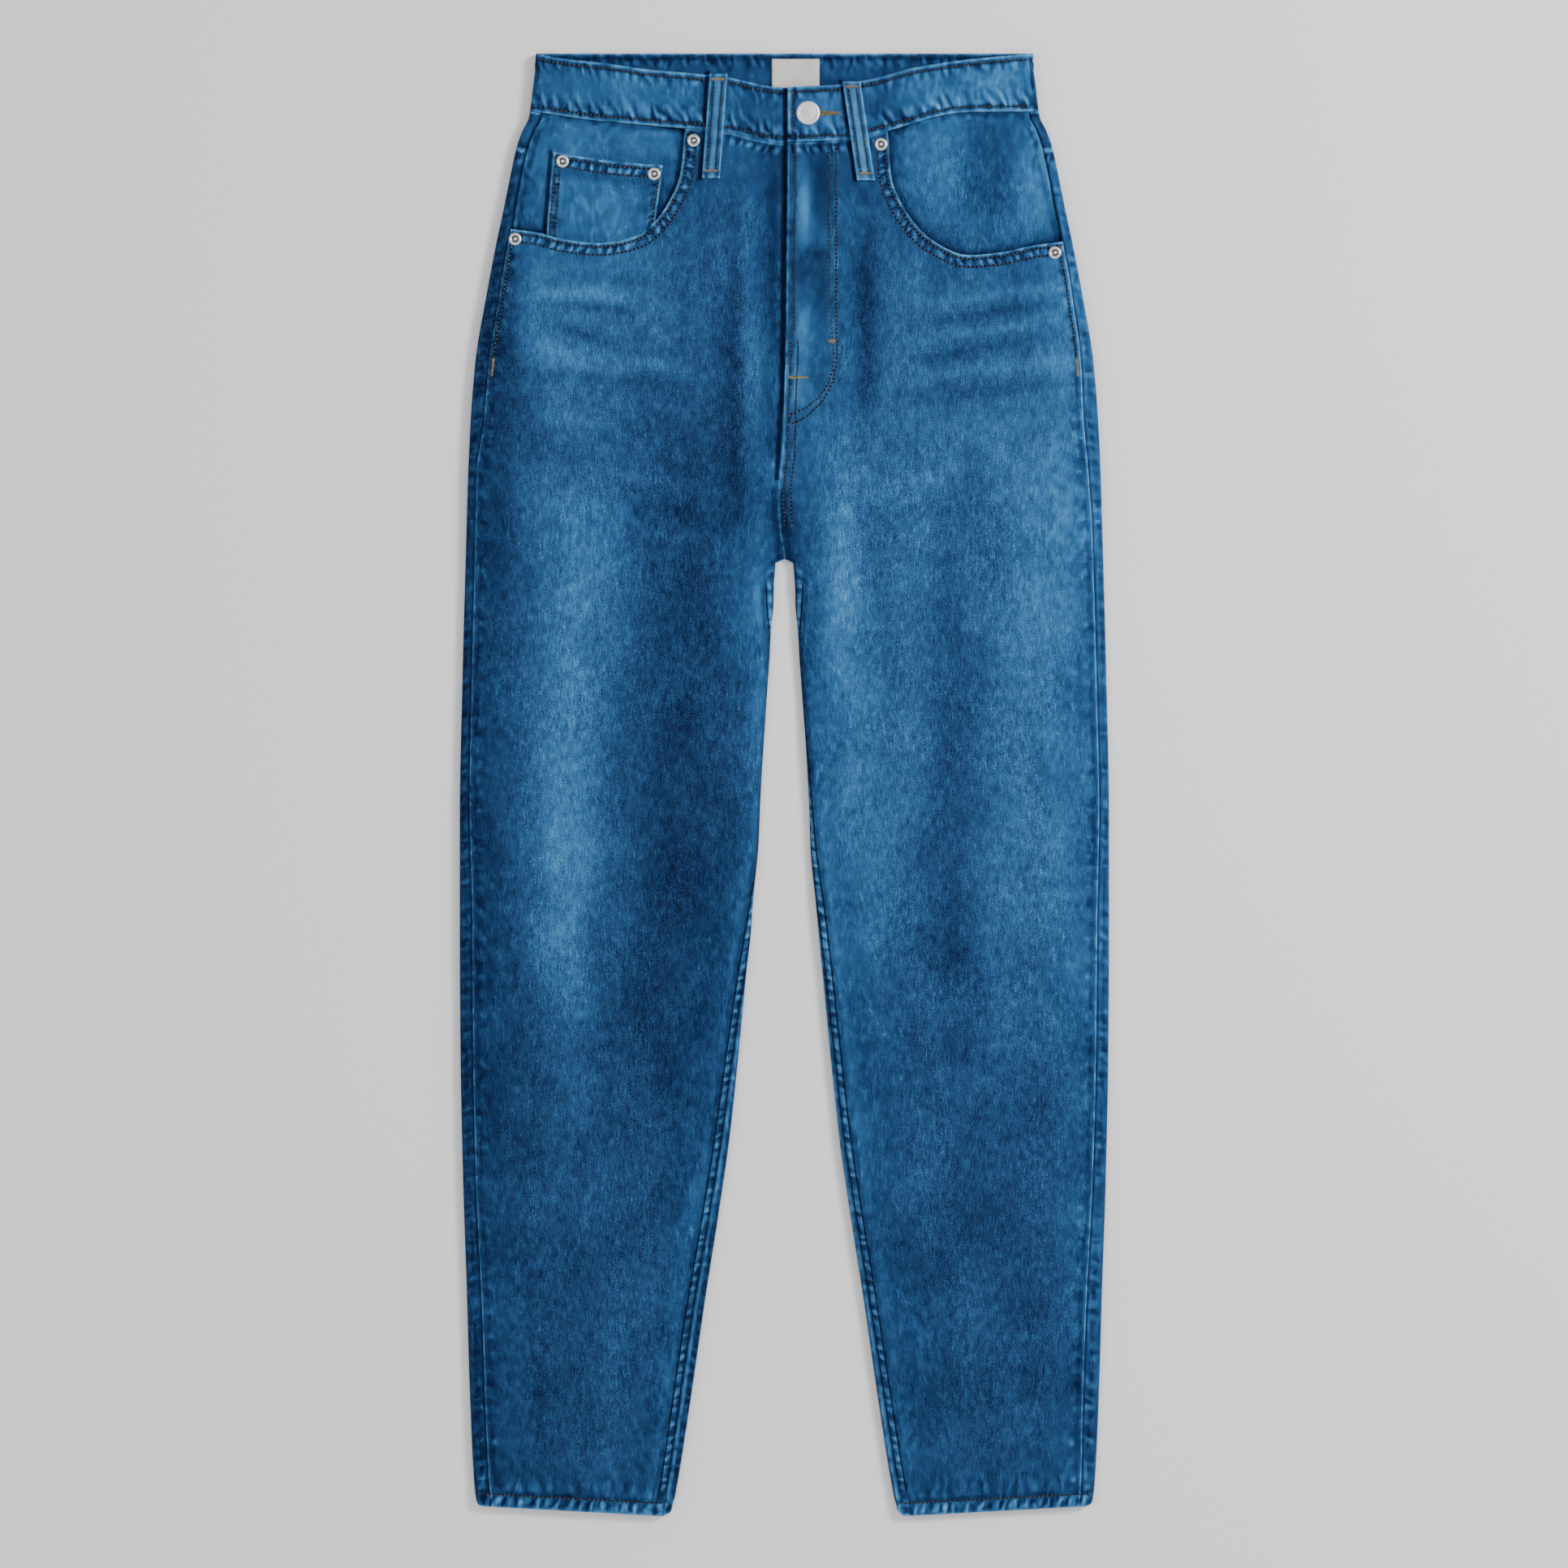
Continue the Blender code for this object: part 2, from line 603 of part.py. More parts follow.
def waistband(material):
    made = solid_wall("waistband", waistband_rows(), WAISTBAND_CLOTH, material)
    hole = made.modifiers.new("buttonhole", "BOOLEAN")
    hole.operation = "DIFFERENCE"
    hole.solver = "EXACT"
    hole.object = buttonhole_cutter()
    return made


def turned(name, profile, segments, x, drop, base, material):
    """A round metal piece turned from (radius, height) pairs, standing on a base height."""
    shape = bmesh.new()
    points = [shape.verts.new((radius * MM, 0.0, height * MM)) for radius, height in profile]
    edges = [shape.edges.new(pair) for pair in zip(points, points[1:])]
    bmesh.ops.spin(shape, geom=points + edges, cent=(0, 0, 0), axis=(0, 0, 1), angle=2 * math.pi,
                   steps=segments, use_merge=True)
    bmesh.ops.remove_doubles(shape, verts=shape.verts[:], dist=1e-6)
    bmesh.ops.recalc_face_normals(shape, faces=shape.faces[:])
    bmesh.ops.triangulate(shape, faces=shape.faces[:])
    mesh = bpy.data.meshes.new(name)
    shape.to_mesh(mesh)
    shape.free()
    mesh.shade_smooth()
    mesh.set_sharp_from_angle(angle=math.radians(40))
    made = link(name, mesh, material)
    made.location = (x * MM, (LENGTH / 2 - drop) * MM, base * MM)
    return made


RIVET_RADIUS = 4.6
RIVET_PROFILE = (
    (0.0, 0.0), (RIVET_RADIUS - 0.3, 0.0), (RIVET_RADIUS, 0.3), (4.0, 0.95), (3.2, 1.2), (2.4, 0.9),
    (1.7, 0.6), (1.1, 1.1), (0.0, 1.3),
)
RIVETS = (
    # name, x, drop, rests_on
    ("rivet_right_waist", -65.2, 62.9, "front"),
    ("rivet_right_side", -193.2, 133.6, "front"),
    ("rivet_left_waist", 69.3, 65.7, "front"),
    ("rivet_left_side", 194.0, 143.4, "front"),
    ("rivet_coin_side", -159.3, 77.6, "coin"),
    ("rivet_coin_centre", -93.5, 86.7, "coin"),
)


def facing_middle(side, x, drop):
    """The pocket facing lies on the back and rises to the side seam and the waist seam."""
    low = UNDER_LIFT + CLOTH + LAYER_GAP + CLOTH / 2
    out = abs(x)
    seam_out = outer_edge(drop) - side_seam_inset[side](drop)
    at_side = (1.0 - ease((seam_out - out) / 16.0)) * (1.0 - ease((drop - 92.0) / 26.0))
    at_waist = (1.0 - ease((drop - waist_seam[side](out)) / 17.0)) * ease((out - 80.0) / 16.0)
    return low + 2.3 * max(at_side, at_waist)


def facing_rows(side):
    """The denim that shows in the pocket mouth, and a margin of it under the front."""
    rows = []
    for k in range(7):
        row = []
        for j in range(11):
            guess, drop = outer_edge(90.0), 90.0
            for _ in range(4):
                side_out = guess - side_seam_inset[side](drop) - 0.6
                out = mix(57.0, side_out, ease(j / 10) * 0.35 + 0.65 * j / 10)
                drop = mix(waist_seam[side](out) + SEAM_GAP, facing_foot[side](out), k / 6)
                guess = outer_edge(drop)
            row.append((SIDES[side] * out, drop))
        rows.append(row)
    return flat_sheet(rows, lambda x, drop: facing_middle(side, x, drop))


def coin_rows():
    """The coin pocket on the right facing, its foot tucked behind the pocket mouth."""
    mouth = Profile(sorted((out, drop) for out, drop in POCKET_MOUTH["right"] if out > 72))
    rows = []
    for k in range(7):
        row = []
        for j in range(7):
            across = j / 6
            top_out = mix(166.0, 87.0, across)
            top_drop = mix(70.8, 80.4, across) + 1.6 * math.sin(math.pi * across)
            foot_out = mix(171.5, 94.0, across)
            foot_drop = mouth(foot_out) + 7.0
            row.append((-mix(top_out, foot_out, k / 6), mix(top_drop, foot_drop, k / 6)))
        rows.append(row)
    return flat_sheet(rows, lambda x, drop: coin_middle())


def coin_middle():
    return UNDER_LIFT + 2 * CLOTH + 2 * LAYER_GAP + COIN_CLOTH / 2


# Front belt loops: middle of the top and the foot, as x and drop
FRONT_LOOPS = {
    "belt_loop_front_right": ((-47.2, 15.4), (-52.7, 90.0)),
    "belt_loop_front_left": ((48.0, 21.0), (58.4, 91.5)),
}
BACK_LOOPS = {"belt_loop_back_right": -98.0, "belt_loop_back_centre": 0.0, "belt_loop_back_left": 98.0}
LOOP_WIDTH = 12.6
LOOP_BOW = 0.9


def front_loop_rows(side, top, foot):
    """A strip over the waistband that steps down to the front below the seam."""
    rows = []
    count = 13
    seam = waist_seam[side](abs(top[0]))
    for k in range(count):
        share = k / (count - 1)
        x, drop = mix(top[0], foot[0], share), mix(top[1], foot[1], share)
        over_band = WAISTBAND_UPPER + WAISTBAND_CLOTH / 2
        if side == "left":
            over_band += waistband_height(side, x)
        on_front = UPPER_LEVEL[0][1] + CLOTH / 2
        surface = mix(over_band, on_front, ease((drop - seam - 3.0) / 12.0))
        bow = LOOP_BOW * math.sin(math.pi * min(1.0, share / 0.7)) ** 2
        middle = surface + LAYER_GAP + LOOP_CLOTH / 2 + bow
        row = []
        for j in range(4):
            across = (j / 3 - 0.5) * LOOP_WIDTH
            row.append(((x + across, LENGTH / 2 - drop, middle), (0.0, 0.0, 1.0)))
        rows.append(row)
    return rows


def back_loop_rows(centre):
    """A strip under the waistband, flat where the jeans rest on it."""
    rows = []
    middle = (UNDER_LIFT - LAYER_GAP) / 2
    for k in range(9):
        drop = mix(1.0, 74.0, k / 8)
        row = []
        for j in range(3):
            across = (j / 2 - 0.5) * LOOP_WIDTH
            row.append(((centre + across, LENGTH / 2 - drop, middle), (0.0, 0.0, 1.0)))
        rows.append(row)
    return rows


# Back patch pocket: half widths and drops of its outline, about its middle
BACK_POCKET_CENTRE = 100.0
BACK_POCKET_OUTLINE = (
    # half_width, drop
    (72.0, 134.0), (70.0, 168.0), (67.0, 202.0), (64.0, 236.0), (60.0, 268.0),
)
BACK_POCKET_POINT = 18.0


def back_pocket_rows(side):
    """A patch pocket with a pointed foot, flat where the jeans rest on it."""
    rows = []
    middle = (UNDER_LIFT - LAYER_GAP) / 2
    for k, (half_width, drop) in enumerate(BACK_POCKET_OUTLINE):
        row = []
        for j in range(7):
            across = j / 3 - 1
            point = BACK_POCKET_POINT * (1 - abs(across)) * (k / (len(BACK_POCKET_OUTLINE) - 1)) ** 2
            x = SIDES[side] * (BACK_POCKET_CENTRE + across * half_width)
            row.append(((x, LENGTH / 2 - drop - point, middle), (0.0, 0.0, 1.0)))
        rows.append(row)
    return rows


# Zip under the fly and woven label inside the back waistband
ZIP_FROM_X, ZIP_TO_X = 7.0, 17.0
ZIP_CLOTH = 0.8
LABEL_FROM_X, LABEL_TO_X = -9.0, 25.0
LABEL_FROM_DROP, LABEL_TO_DROP = 4.0, 36.0


def zip_rows():
    middle = UPPER_LEVEL[0][1] - UNDERLAP_DIP + CLOTH / 2 + LAYER_GAP + ZIP_CLOTH / 2
    rows = [[(mix(ZIP_FROM_X, ZIP_TO_X, j / 2), mix(68.0, 222.0, k / 6)) for j in range(3)] for k in range(7)]
    return flat_sheet(rows, lambda x, drop: middle)


def label_rows():
    middle = WAISTBAND_UNDER + WAISTBAND_CLOTH / 2 + LAYER_GAP + LABEL_CLOTH / 2
    rows = [
        [(mix(LABEL_FROM_X, LABEL_TO_X, j / 4), mix(LABEL_FROM_DROP, LABEL_TO_DROP, k / 4)) for j in range(5)]
        for k in range(5)
    ]
    return flat_sheet(rows, lambda x, drop: middle)


def build():
    for old in list(bpy.data.objects):
        bpy.data.objects.remove(old, do_unlink=True)
    denim = finish("denim", (0.028, 0.105, 0.25), 0.85)
    dark_denim = finish("denim_back", (0.022, 0.085, 0.21), 0.85)
    metal = finish("brushed_nickel", (0.75, 0.75, 0.74), 0.35, 1.0)
    zip_tape = finish("zip_tape", (0.03, 0.04, 0.07), 0.8)
    woven = finish("woven_label", (0.05, 0.06, 0.12), 0.7)

    for side in SIDES:
        front = front_rows(side)
        solid_wall(f"front_{side}", front, CLOTH, denim, hem_rise(front))
        back = back_rows(side)
        solid_wall(f"back_{side}", back, CLOTH, dark_denim, hem_rise(back))
        solid_wall(f"yoke_{side}", yoke_rows(side), CLOTH, dark_denim)
        solid_wall(f"pocket_facing_{side}", facing_rows(side), CLOTH, denim)
        solid_wall(f"back_pocket_{side}", back_pocket_rows(side), UNDER_LIFT - LAYER_GAP, dark_denim)
    solid_wall("coin_pocket", coin_rows(), COIN_CLOTH, denim)
    waistband(denim)
    solid_wall("fly_zip", zip_rows(), ZIP_CLOTH, zip_tape)
    solid_wall("woven_label", label_rows(), LABEL_CLOTH, woven)
    for name, (top, foot) in FRONT_LOOPS.items():
        solid_wall(name, front_loop_rows(name.rsplit("_", 1)[1], top, foot), LOOP_CLOTH, denim)
    for name, centre in BACK_LOOPS.items():
        solid_wall(name, back_loop_rows(centre), UNDER_LIFT - LAYER_GAP, dark_denim)

    front_top = UPPER_LEVEL[0][1] + CLOTH / 2
    bases = {"front": front_top + LAYER_GAP, "coin": coin_middle() + COIN_CLOTH / 2 + LAYER_GAP}
    for name, x, drop, rests_on in RIVETS:
        turned(name, RIVET_PROFILE, 16, x, drop, bases[rests_on], metal)
    underlap_top = WAISTBAND_UPPER + WAISTBAND_CLOTH / 2 - 0.4
    overlap_top = WAISTBAND_UPPER + WAISTBAND_CLOTH / 2 + 2.1
    shank = overlap_top - underlap_top
    button_profile = (
        (0.0, 0.0), (SHANK_RADIUS, 0.0), (SHANK_RADIUS, shank), (BUTTON_RADIUS - 0.7, shank + 0.1),
        (BUTTON_RADIUS, shank + 0.8), (BUTTON_RADIUS - 0.3, shank + 1.5), (BUTTON_RADIUS - 1.2, shank + 2.1),
        (BUTTON_RADIUS - 2.4, shank + 2.0), (3.0, shank + 2.2), (0.0, shank + 2.3),
    )
    turned("tack_button", button_profile, 28, BUTTON_X, BUTTON_DROP, underlap_top + LAYER_GAP, metal)


build()
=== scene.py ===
"""Mom jeans laid out flat, front up: cloth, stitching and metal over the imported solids.

Lengths in the tables are millimetres. A place on the garment is given by its distance from the centre
line and its drop, which is the distance below the back waist edge. Each leg is a flattened tube. A run is
measured round it from the outer fold: plus over the top, minus underneath.
"""

from __future__ import annotations

import logging
import math
from dataclasses import dataclass, field
from enum import Enum

import bmesh
import bpy
import numpy as np
from mathutils import Matrix, Vector

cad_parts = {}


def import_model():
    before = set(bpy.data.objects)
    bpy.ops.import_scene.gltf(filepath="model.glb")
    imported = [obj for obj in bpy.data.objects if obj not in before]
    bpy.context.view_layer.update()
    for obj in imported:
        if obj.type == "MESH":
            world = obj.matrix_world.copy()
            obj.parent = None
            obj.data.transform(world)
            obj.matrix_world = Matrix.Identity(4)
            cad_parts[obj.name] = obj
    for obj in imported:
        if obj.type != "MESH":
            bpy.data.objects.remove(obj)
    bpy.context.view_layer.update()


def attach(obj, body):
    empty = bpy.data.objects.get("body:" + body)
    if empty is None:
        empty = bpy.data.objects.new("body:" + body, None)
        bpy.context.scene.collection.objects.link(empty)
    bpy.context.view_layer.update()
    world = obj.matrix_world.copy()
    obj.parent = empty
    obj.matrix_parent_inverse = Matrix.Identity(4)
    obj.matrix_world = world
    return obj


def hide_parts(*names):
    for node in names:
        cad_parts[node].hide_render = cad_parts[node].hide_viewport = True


log = logging.getLogger("jeans")

MM = 0.001
LENGTH = 1050.0
CLOTH = 1.2
BAND_CLOTH = 2.2
SEAM_GAP = 0.3
CROTCH_DROP = 363.0
BLEND_DROP = 172.0
HEM_DROP = 1046.25
HEM_SLOPE = 7.5
HEM_BAND = 9.6
FLY_END_DROP = 248.0
UNDERLAP = 22.0
BAND_UPPER, BAND_UNDER = 6.6, 2.6
BAND_HEIGHT = 42.0
WAIST_SIDE = 180.0
EDGE_EASE = 12.0
OVERLAP_RISE = 2.1
BUTTON_X, BUTTON_DROP = 17.0, 43.7
UP, DOWN = (0.0, 0.0, 1.0), (0.0, 0.0, -1.0)
FLOAT, VECTOR = "NodeSocketFloat", "NodeSocketVector"
ROOT = "root"


class Side(Enum):
    """Wearer's side. The value is the sign of x."""

    RIGHT = -1
    LEFT = 1

    @property
    def word(self) -> str:
        """Word used in piece names."""
        return self.name.lower()


class Thread(Enum):
    """Thread colours: base colour of each. The navy one also colours the near-black painted shadow laid
    between stitches.
    """

    GOLD = (0.30, 0.225, 0.100)
    TAN = (0.150, 0.150, 0.115)
    NAVY = (0.003, 0.006, 0.014)


Array = np.ndarray


def mix(first: Array | float, second: Array | float, share: Array | float) -> Array | float:
    """Blend from first to second."""
    return first + (second - first) * share


def ease(value: Array | float) -> Array:
    """Smooth step from 0 to 1."""
    value = np.clip(value, 0.0, 1.0)
    return value * value * (3.0 - 2.0 * value)


def hump(distance: Array | float, centre: float, half_width: float) -> Array:
    """Soft rounded ridge across a distance, 1 high."""
    return np.exp(-(((distance - centre) / half_width) ** 2))


def ripple(along: Array, pitch: float, seed: float) -> Array:
    """Uneven wave along a seam, about -1 to 1, the same on each run."""
    base = 2 * math.pi * along / pitch
    wander = 1.7 * np.sin(along / (pitch * 2.9) + seed) + 1.1 * np.sin(along / (pitch * 1.3) + 2.1 * seed)
    swell = 0.62 + 0.38 * np.sin(along / (pitch * 3.7) + 3.3 * seed)
    return np.sin(base + wander) * swell


def rows_of(kind: type, *rows: tuple) -> tuple:
    """One entry of a kind for each row of its sizes."""
    return tuple(kind(*row) for row in rows)


class Curve:
    """Smooth curve through a short table, with no overshoot between its rows."""

    def __init__(self, rows: tuple) -> None:
        """Args:
            rows: Pairs of place and value, in rising order of place.
        """
        self.xs = np.array([row[0] for row in rows], dtype=float)
        self.ys = np.array([row[1] for row in rows], dtype=float)
        slopes = np.diff(self.ys) / np.diff(self.xs)
        left, right = slopes[:-1], slopes[1:]
        total = np.where(left + right == 0, 1.0, left + right)
        inner = np.where(left * right <= 0, 0.0, 2.0 * left * right / total)
        self.tangents = np.concatenate((slopes[:1], inner, slopes[-1:]))

    def __call__(self, x: Array | float) -> Array:
        """Value of the curve at x, held past its ends."""
        x = np.clip(np.asarray(x, dtype=float), self.xs[0], self.xs[-1])
        i = np.clip(np.searchsorted(self.xs, x, side="right") - 1, 0, len(self.xs) - 2)
        width = self.xs[i + 1] - self.xs[i]
        t = (x - self.xs[i]) / width
        return (
            self.ys[i] * (1 + 2 * t) * (1 - t) ** 2
            + self.ys[i + 1] * t * t * (3 - 2 * t)
            + width * self.tangents[i] * t * (1 - t) ** 2
            + width * self.tangents[i + 1] * t * t * (t - 1)
        )


class SeamLine:
    """Straight pieces through a few places: the cut edge that neighbouring panels follow."""

    def __init__(self, rows: list) -> None:
        """Args:
            rows: Pairs of place and value.
        """
        rows = sorted(rows)
        self.xs = np.array([row[0] for row in rows], dtype=float)
        self.ys = np.array([row[1] for row in rows], dtype=float)

    def __call__(self, x: Array | float) -> Array:
        """Value at x, held past its ends."""
        return np.interp(x, self.xs, self.ys)


@dataclass(frozen=True)
class Crease:
    """One soft ridge or trough of the upper layer, between two places."""

    from_x: float
    from_drop: float
    to_x: float
    to_drop: float
    half_width: float
    height: float

    def at(self, x: Array, drop: Array) -> Array:
        """Height that this crease adds.

        Args:
            x: Distances from the centre line.
            drop: Drops below the back waist edge.

        Returns:
            Heights in millimetres, plus for a ridge.
        """
        along_x, along_drop = self.to_x - self.from_x, self.to_drop - self.from_drop
        share = (x - self.from_x) * along_x + (drop - self.from_drop) * along_drop
        share = share / (along_x**2 + along_drop**2)
        near = np.clip(share, 0.0, 1.0)
        away = np.hypot(x - self.from_x - along_x * near, drop - self.from_drop - along_drop * near)
        swell = np.sin(math.pi * mix(0.12, 0.88, near))
        return self.height * swell * np.exp(-((away / self.half_width) ** 2))


@dataclass(frozen=True)
class Fade:
    """A patch where the wash has left the cloth lighter, plus, or darker, minus."""

    x: float
    drop: float
    half_x: float
    half_drop: float
    amount: float
    lean: float = 0.0

    def at(self, x: Array, drop: Array) -> Array:
        """Change of tone at places, where lean is the sideways shift for each unit of drop."""
        across = (x - self.x - self.lean * (drop - self.drop)) / self.half_x
        down = (drop - self.drop) / self.half_drop
        return self.amount * np.exp(-(across**2) - np.abs(down) ** 3)


# Half widths of the outline, by drop
OUTER_EDGE = Curve((
    (0, 177.0), (20, 180.0), (46, 183.5), (56, 188.3), (67, 192.2), (90, 197.2), (114, 202.1), (137, 207.0),
    (172, 213.7), (224, 222.2), (282, 226.3), (370, 229.2), (457, 231.5), (545, 233.2), (632, 233.2),
    (719, 232.7), (807, 230.9), (894, 228.0), (952, 226.3), (1010, 223.9), (1036, 222.0), (1050, 219.5),
))
INNER_EDGE = Curve((
    (363, 6.0), (380, 7.4), (400, 8.6), (464, 13.2), (522, 16.8), (574, 19.4), (603, 21.9), (661, 27.4),
    (719, 33.0), (778, 39.3), (836, 47.7), (894, 56.8), (952, 65.2), (1010, 74.0), (1050, 81.0),
))
# Height of the middle of the cloth of each layer, by drop
UPPER_LEVEL = Curve(((0, 6.4), (300, 6.4), (420, 5.0), (1050, 5.0)))
UNDER_LEVEL = Curve(((0, 2.1), (300, 2.1), (345, 0.6), (1050, 0.6)))
# Side seam, in from the outline on the upper side, by drop
SIDE_SEAM = {
    Side.RIGHT: Curve(((40, 9.0), (90, 7.5), (137, 8.7), (224, 10.0), (262, 9.8), (300, 6.2), (354, 6.7),
                       (540, 7.2), (630, 9.3), (780, 9.3), (950, 11.0), (1050, 11.0))),
    Side.LEFT: Curve(((40, 7.0), (90, 6.8), (137, 7.0), (224, 9.3), (262, 10.6), (300, 9.0), (354, 7.4),
                      (540, 7.2), (630, 8.7), (780, 9.3), (950, 11.6), (1050, 9.4))),
}
# Inner leg seam past the inner fold, plus on the upper side, by drop
INSEAM = {
    Side.RIGHT: Curve(((363, 0.0), (374, -0.3), (440, -7.0), (540, -8.0), (614, -4.0), (681, 0.5),
                       (770, 3.9), (860, 5.2), (952, 6.2), (1050, 5.2))),
    Side.LEFT: Curve(((363, 0.0), (374, -0.3), (440, -6.5), (545, -4.0), (640, 0.0), (780, 1.6), (952, 2.8),
                      (1050, 3.3))),
}
CENTRE_FRONT = Curve((
    (0, 2.4), (66, 2.4), (183, 1.5), (221, 0.9), (253, -0.5), (285, -1.1), (303, -3.0), (318, -4.0),
    (340, -3.0), (363, 0.0), (1050, 0.0),
))
# Front waist edge and waist seam, as drop by distance from the centre
WAIST_EDGE = {
    Side.RIGHT: Curve(((-30, 26.0), (0, 25.0), (13, 23.9), (26, 21.0), (40, 18.0), (70, 14.6), (96, 12.4),
                       (130, 7.6), (159, 4.4), (177, 1.0))),
    Side.LEFT: Curve(((0, 25.0), (36, 23.3), (55, 20.4), (66, 18.4), (90, 11.6), (117, 7.0), (143, 3.8),
                      (177, 1.0))),
}
WAIST_CURVE = {
    Side.RIGHT: Curve(((-30, 62.6), (-13, 63.2), (-3, 63.8), (4, 64.6), (17, 62.3), (40, 56.8), (56, 55.0),
                       (83, 53.2), (110, 50.7), (137, 48.3), (160, 45.0), (174, 42.0), (190, 42.0))),
    Side.LEFT: Curve(((-5, 64.0), (3, 64.0), (42, 62.6), (62, 58.6), (77, 55.0), (96, 49.2), (117, 43.7),
                      (143, 42.0), (174, 42.0), (190, 42.0))),
}
BAND_OUTS = {
    Side.RIGHT: (-26, -13, -2, 4, 10, 18, 26, 37, 48, 61, 75, 90, 105, 120, 135, 148, 160),
    Side.LEFT: (2.4, 10, 18, 27, 34, 41, 48, 62, 71, 80, 92, 105, 120, 135, 148, 160),
}
WAIST_SEAM = {
    side: SeamLine([(out, float(WAIST_CURVE[side](out))) for out in outs] + [(WAIST_SIDE, BAND_HEIGHT)])
    for side, outs in BAND_OUTS.items()
}
# Curved mouth of each front pocket, side seam to waist seam, as distance from the centre and drop
POCKET_MOUTH = {
    Side.RIGHT: ((198, 126.5), (177, 129.0), (159, 133.8), (133, 136.6), (106, 131.4), (84, 109.0),
                 (74, 84.0), (71.5, 54.5)),
    Side.LEFT: ((199, 135.5), (177, 138.6), (157, 142.9), (132, 145.2), (106, 134.5), (85, 110.0),
                (76, 86.0), (74.3, 56.3)),
}
FACING_FOOT = {
    Side.RIGHT: Curve(((57, 100), (65, 118), (80, 134), (100, 146), (140, 151), (180, 146), (200, 142))),
    Side.LEFT: Curve(((57, 104), (65, 122), (80, 140), (100, 153), (140, 160), (180, 154), (200, 151))),
}
YOKE_SEAM = Curve(((0, 112), (60, 104), (130, 88), (190, 70), (215, 67)))
FRONT_SHARES = np.array((0.0, 0.095, 0.19, 0.285, 0.38, 0.475, 0.57, 0.665, 0.76, 0.82, 0.88, 0.94, 1.0))
FLY_RISE, UNDERLAP_DIP = 1.1, 1.5

# Broad troughs, the same as the solids have
TROUGHS = rows_of(
    Crease,
    (-19, 110, -22, 320, 11, -1.3), (52, 180, 44, 320, 11, -1.0), (-14, 372, -130, 318, 17, -1.2),
    (16, 378, 140, 330, 17, -1.2), (-40, 430, -150, 470, 22, -1.3), (44, 450, 165, 500, 22, -1.3),
    (-200, 470, -196, 900, 18, -1.4), (200, 470, 196, 900, 18, -1.4), (-72, 600, -112, 960, 20, -1.5),
    (74, 620, 116, 960, 20, -1.5), (-110, 640, -200, 690, 16, -1.0), (104, 660, 196, 700, 16, -1.0),
)
# Finer creases of the front, on top of the troughs
FRONT_CREASES = rows_of(
    Crease,
    (-28, 352, -108, 296, 6, 0.8), (-30, 372, -96, 352, 5, -0.6), (26, 348, 110, 300, 6, 0.8),
    (30, 372, 92, 356, 5, -0.6), (-34, 322, -120, 262, 5, 0.5), (48, 330, 118, 276, 5, 0.5),
    (-24, 394, -86, 420, 6, 0.5), (24, 398, 88, 430, 6, 0.5), (-200, 300, -150, 322, 5, 0.5),
    (200, 316, 152, 330, 5, 0.5), (-200, 560, -150, 590, 7, 0.5), (202, 580, 150, 610, 7, 0.5),
    (-60, 700, -118, 676, 7, 0.6), (62, 712, 120, 690, 7, 0.6), (-74, 806, -120, 780, 6, -0.5),
    (72, 800, 124, 824, 6, -0.5), (-210, 742, -160, 760, 7, 0.5), (208, 760, 166, 742, 7, 0.5),
    (-100, 880, -106, 990, 7, 0.6), (104, 870, 110, 990, 7, 0.6), (-182, 860, -176, 1000, 8, 0.5),
    (186, 850, 180, 1000, 8, 0.5), (-148, 930, -144, 1030, 6, -0.5), (150, 920, 146, 1030, 6, -0.5),
    (16, 196, 20, 236, 4, 0.3), (30, 150, 33, 232, 4, 0.3),
)
# Creases of the underside, which rests flat: places where the cloth lifts off the ground
BACK_CREASES = rows_of(
    Crease,
    (-40, 340, -130, 372, 9, 0.7), (40, 344, 132, 376, 9, 0.7), (-30, 400, -110, 444, 8, 0.6),
    (30, 404, 112, 448, 8, 0.6), (-60, 640, -180, 668, 10, 0.8), (62, 652, 184, 676, 10, 0.8),
    (-80, 706, -176, 694, 8, 0.6), (82, 716, 178, 704, 8, 0.6), (-120, 800, -130, 980, 10, 0.7),
    (122, 790, 132, 980, 10, 0.7),
)
# Wash of the upper side: patches lighter or darker than the ground tone
FADES = rows_of(
    Fade,
    (-156, 510, 26, 190, 0.25, -0.01), (-138, 360, 30, 120, 0.05), (-158, 600, 18, 90, 0.08, 0.05),
    (-140, 760, 26, 110, 0.04), (-216, 480, 20, 420, -0.14), (-70, 430, 32, 240, -0.16),
    (-84, 640, 40, 130, -0.06), (-14, 430, 18, 120, 0.06), (-40, 250, 12, 90, -0.10),
    (-120, 190, 60, 60, 0.12), (-172, 190, 18, 70, 0.06), (-202, 200, 12, 120, -0.14),
    (-8, 130, 16, 60, -0.08), (-24, 170, 8, 120, 0.07), (14, 108, 6, 30, 0.34), (13, 200, 6, 18, 0.26),
    (9, 238, 9, 16, 0.20), (17, 150, 9, 13, -0.22), (26, 90, 8, 30, -0.14), (27, 175, 6, 40, -0.14),
    (41, 355, 14, 110, 0.20), (54, 540, 22, 150, 0.14, 0.08), (84, 420, 30, 170, 0.12),
    (120, 540, 14, 190, -0.08), (178, 470, 44, 230, 0.16), (160, 600, 24, 90, 0.05),
    (150, 340, 60, 90, 0.03), (200, 250, 20, 140, 0.14), (208, 720, 20, 280, 0.10),
    (110, 740, 26, 110, 0.05), (16, 470, 8, 110, -0.16), (60, 190, 8, 80, -0.20),
    (104, 220, 40, 90, 0.04), (158, 200, 12, 50, -0.06), (0, 84, 70, 22, -0.12), (0, 1049, 300, 10, 0.20),
)
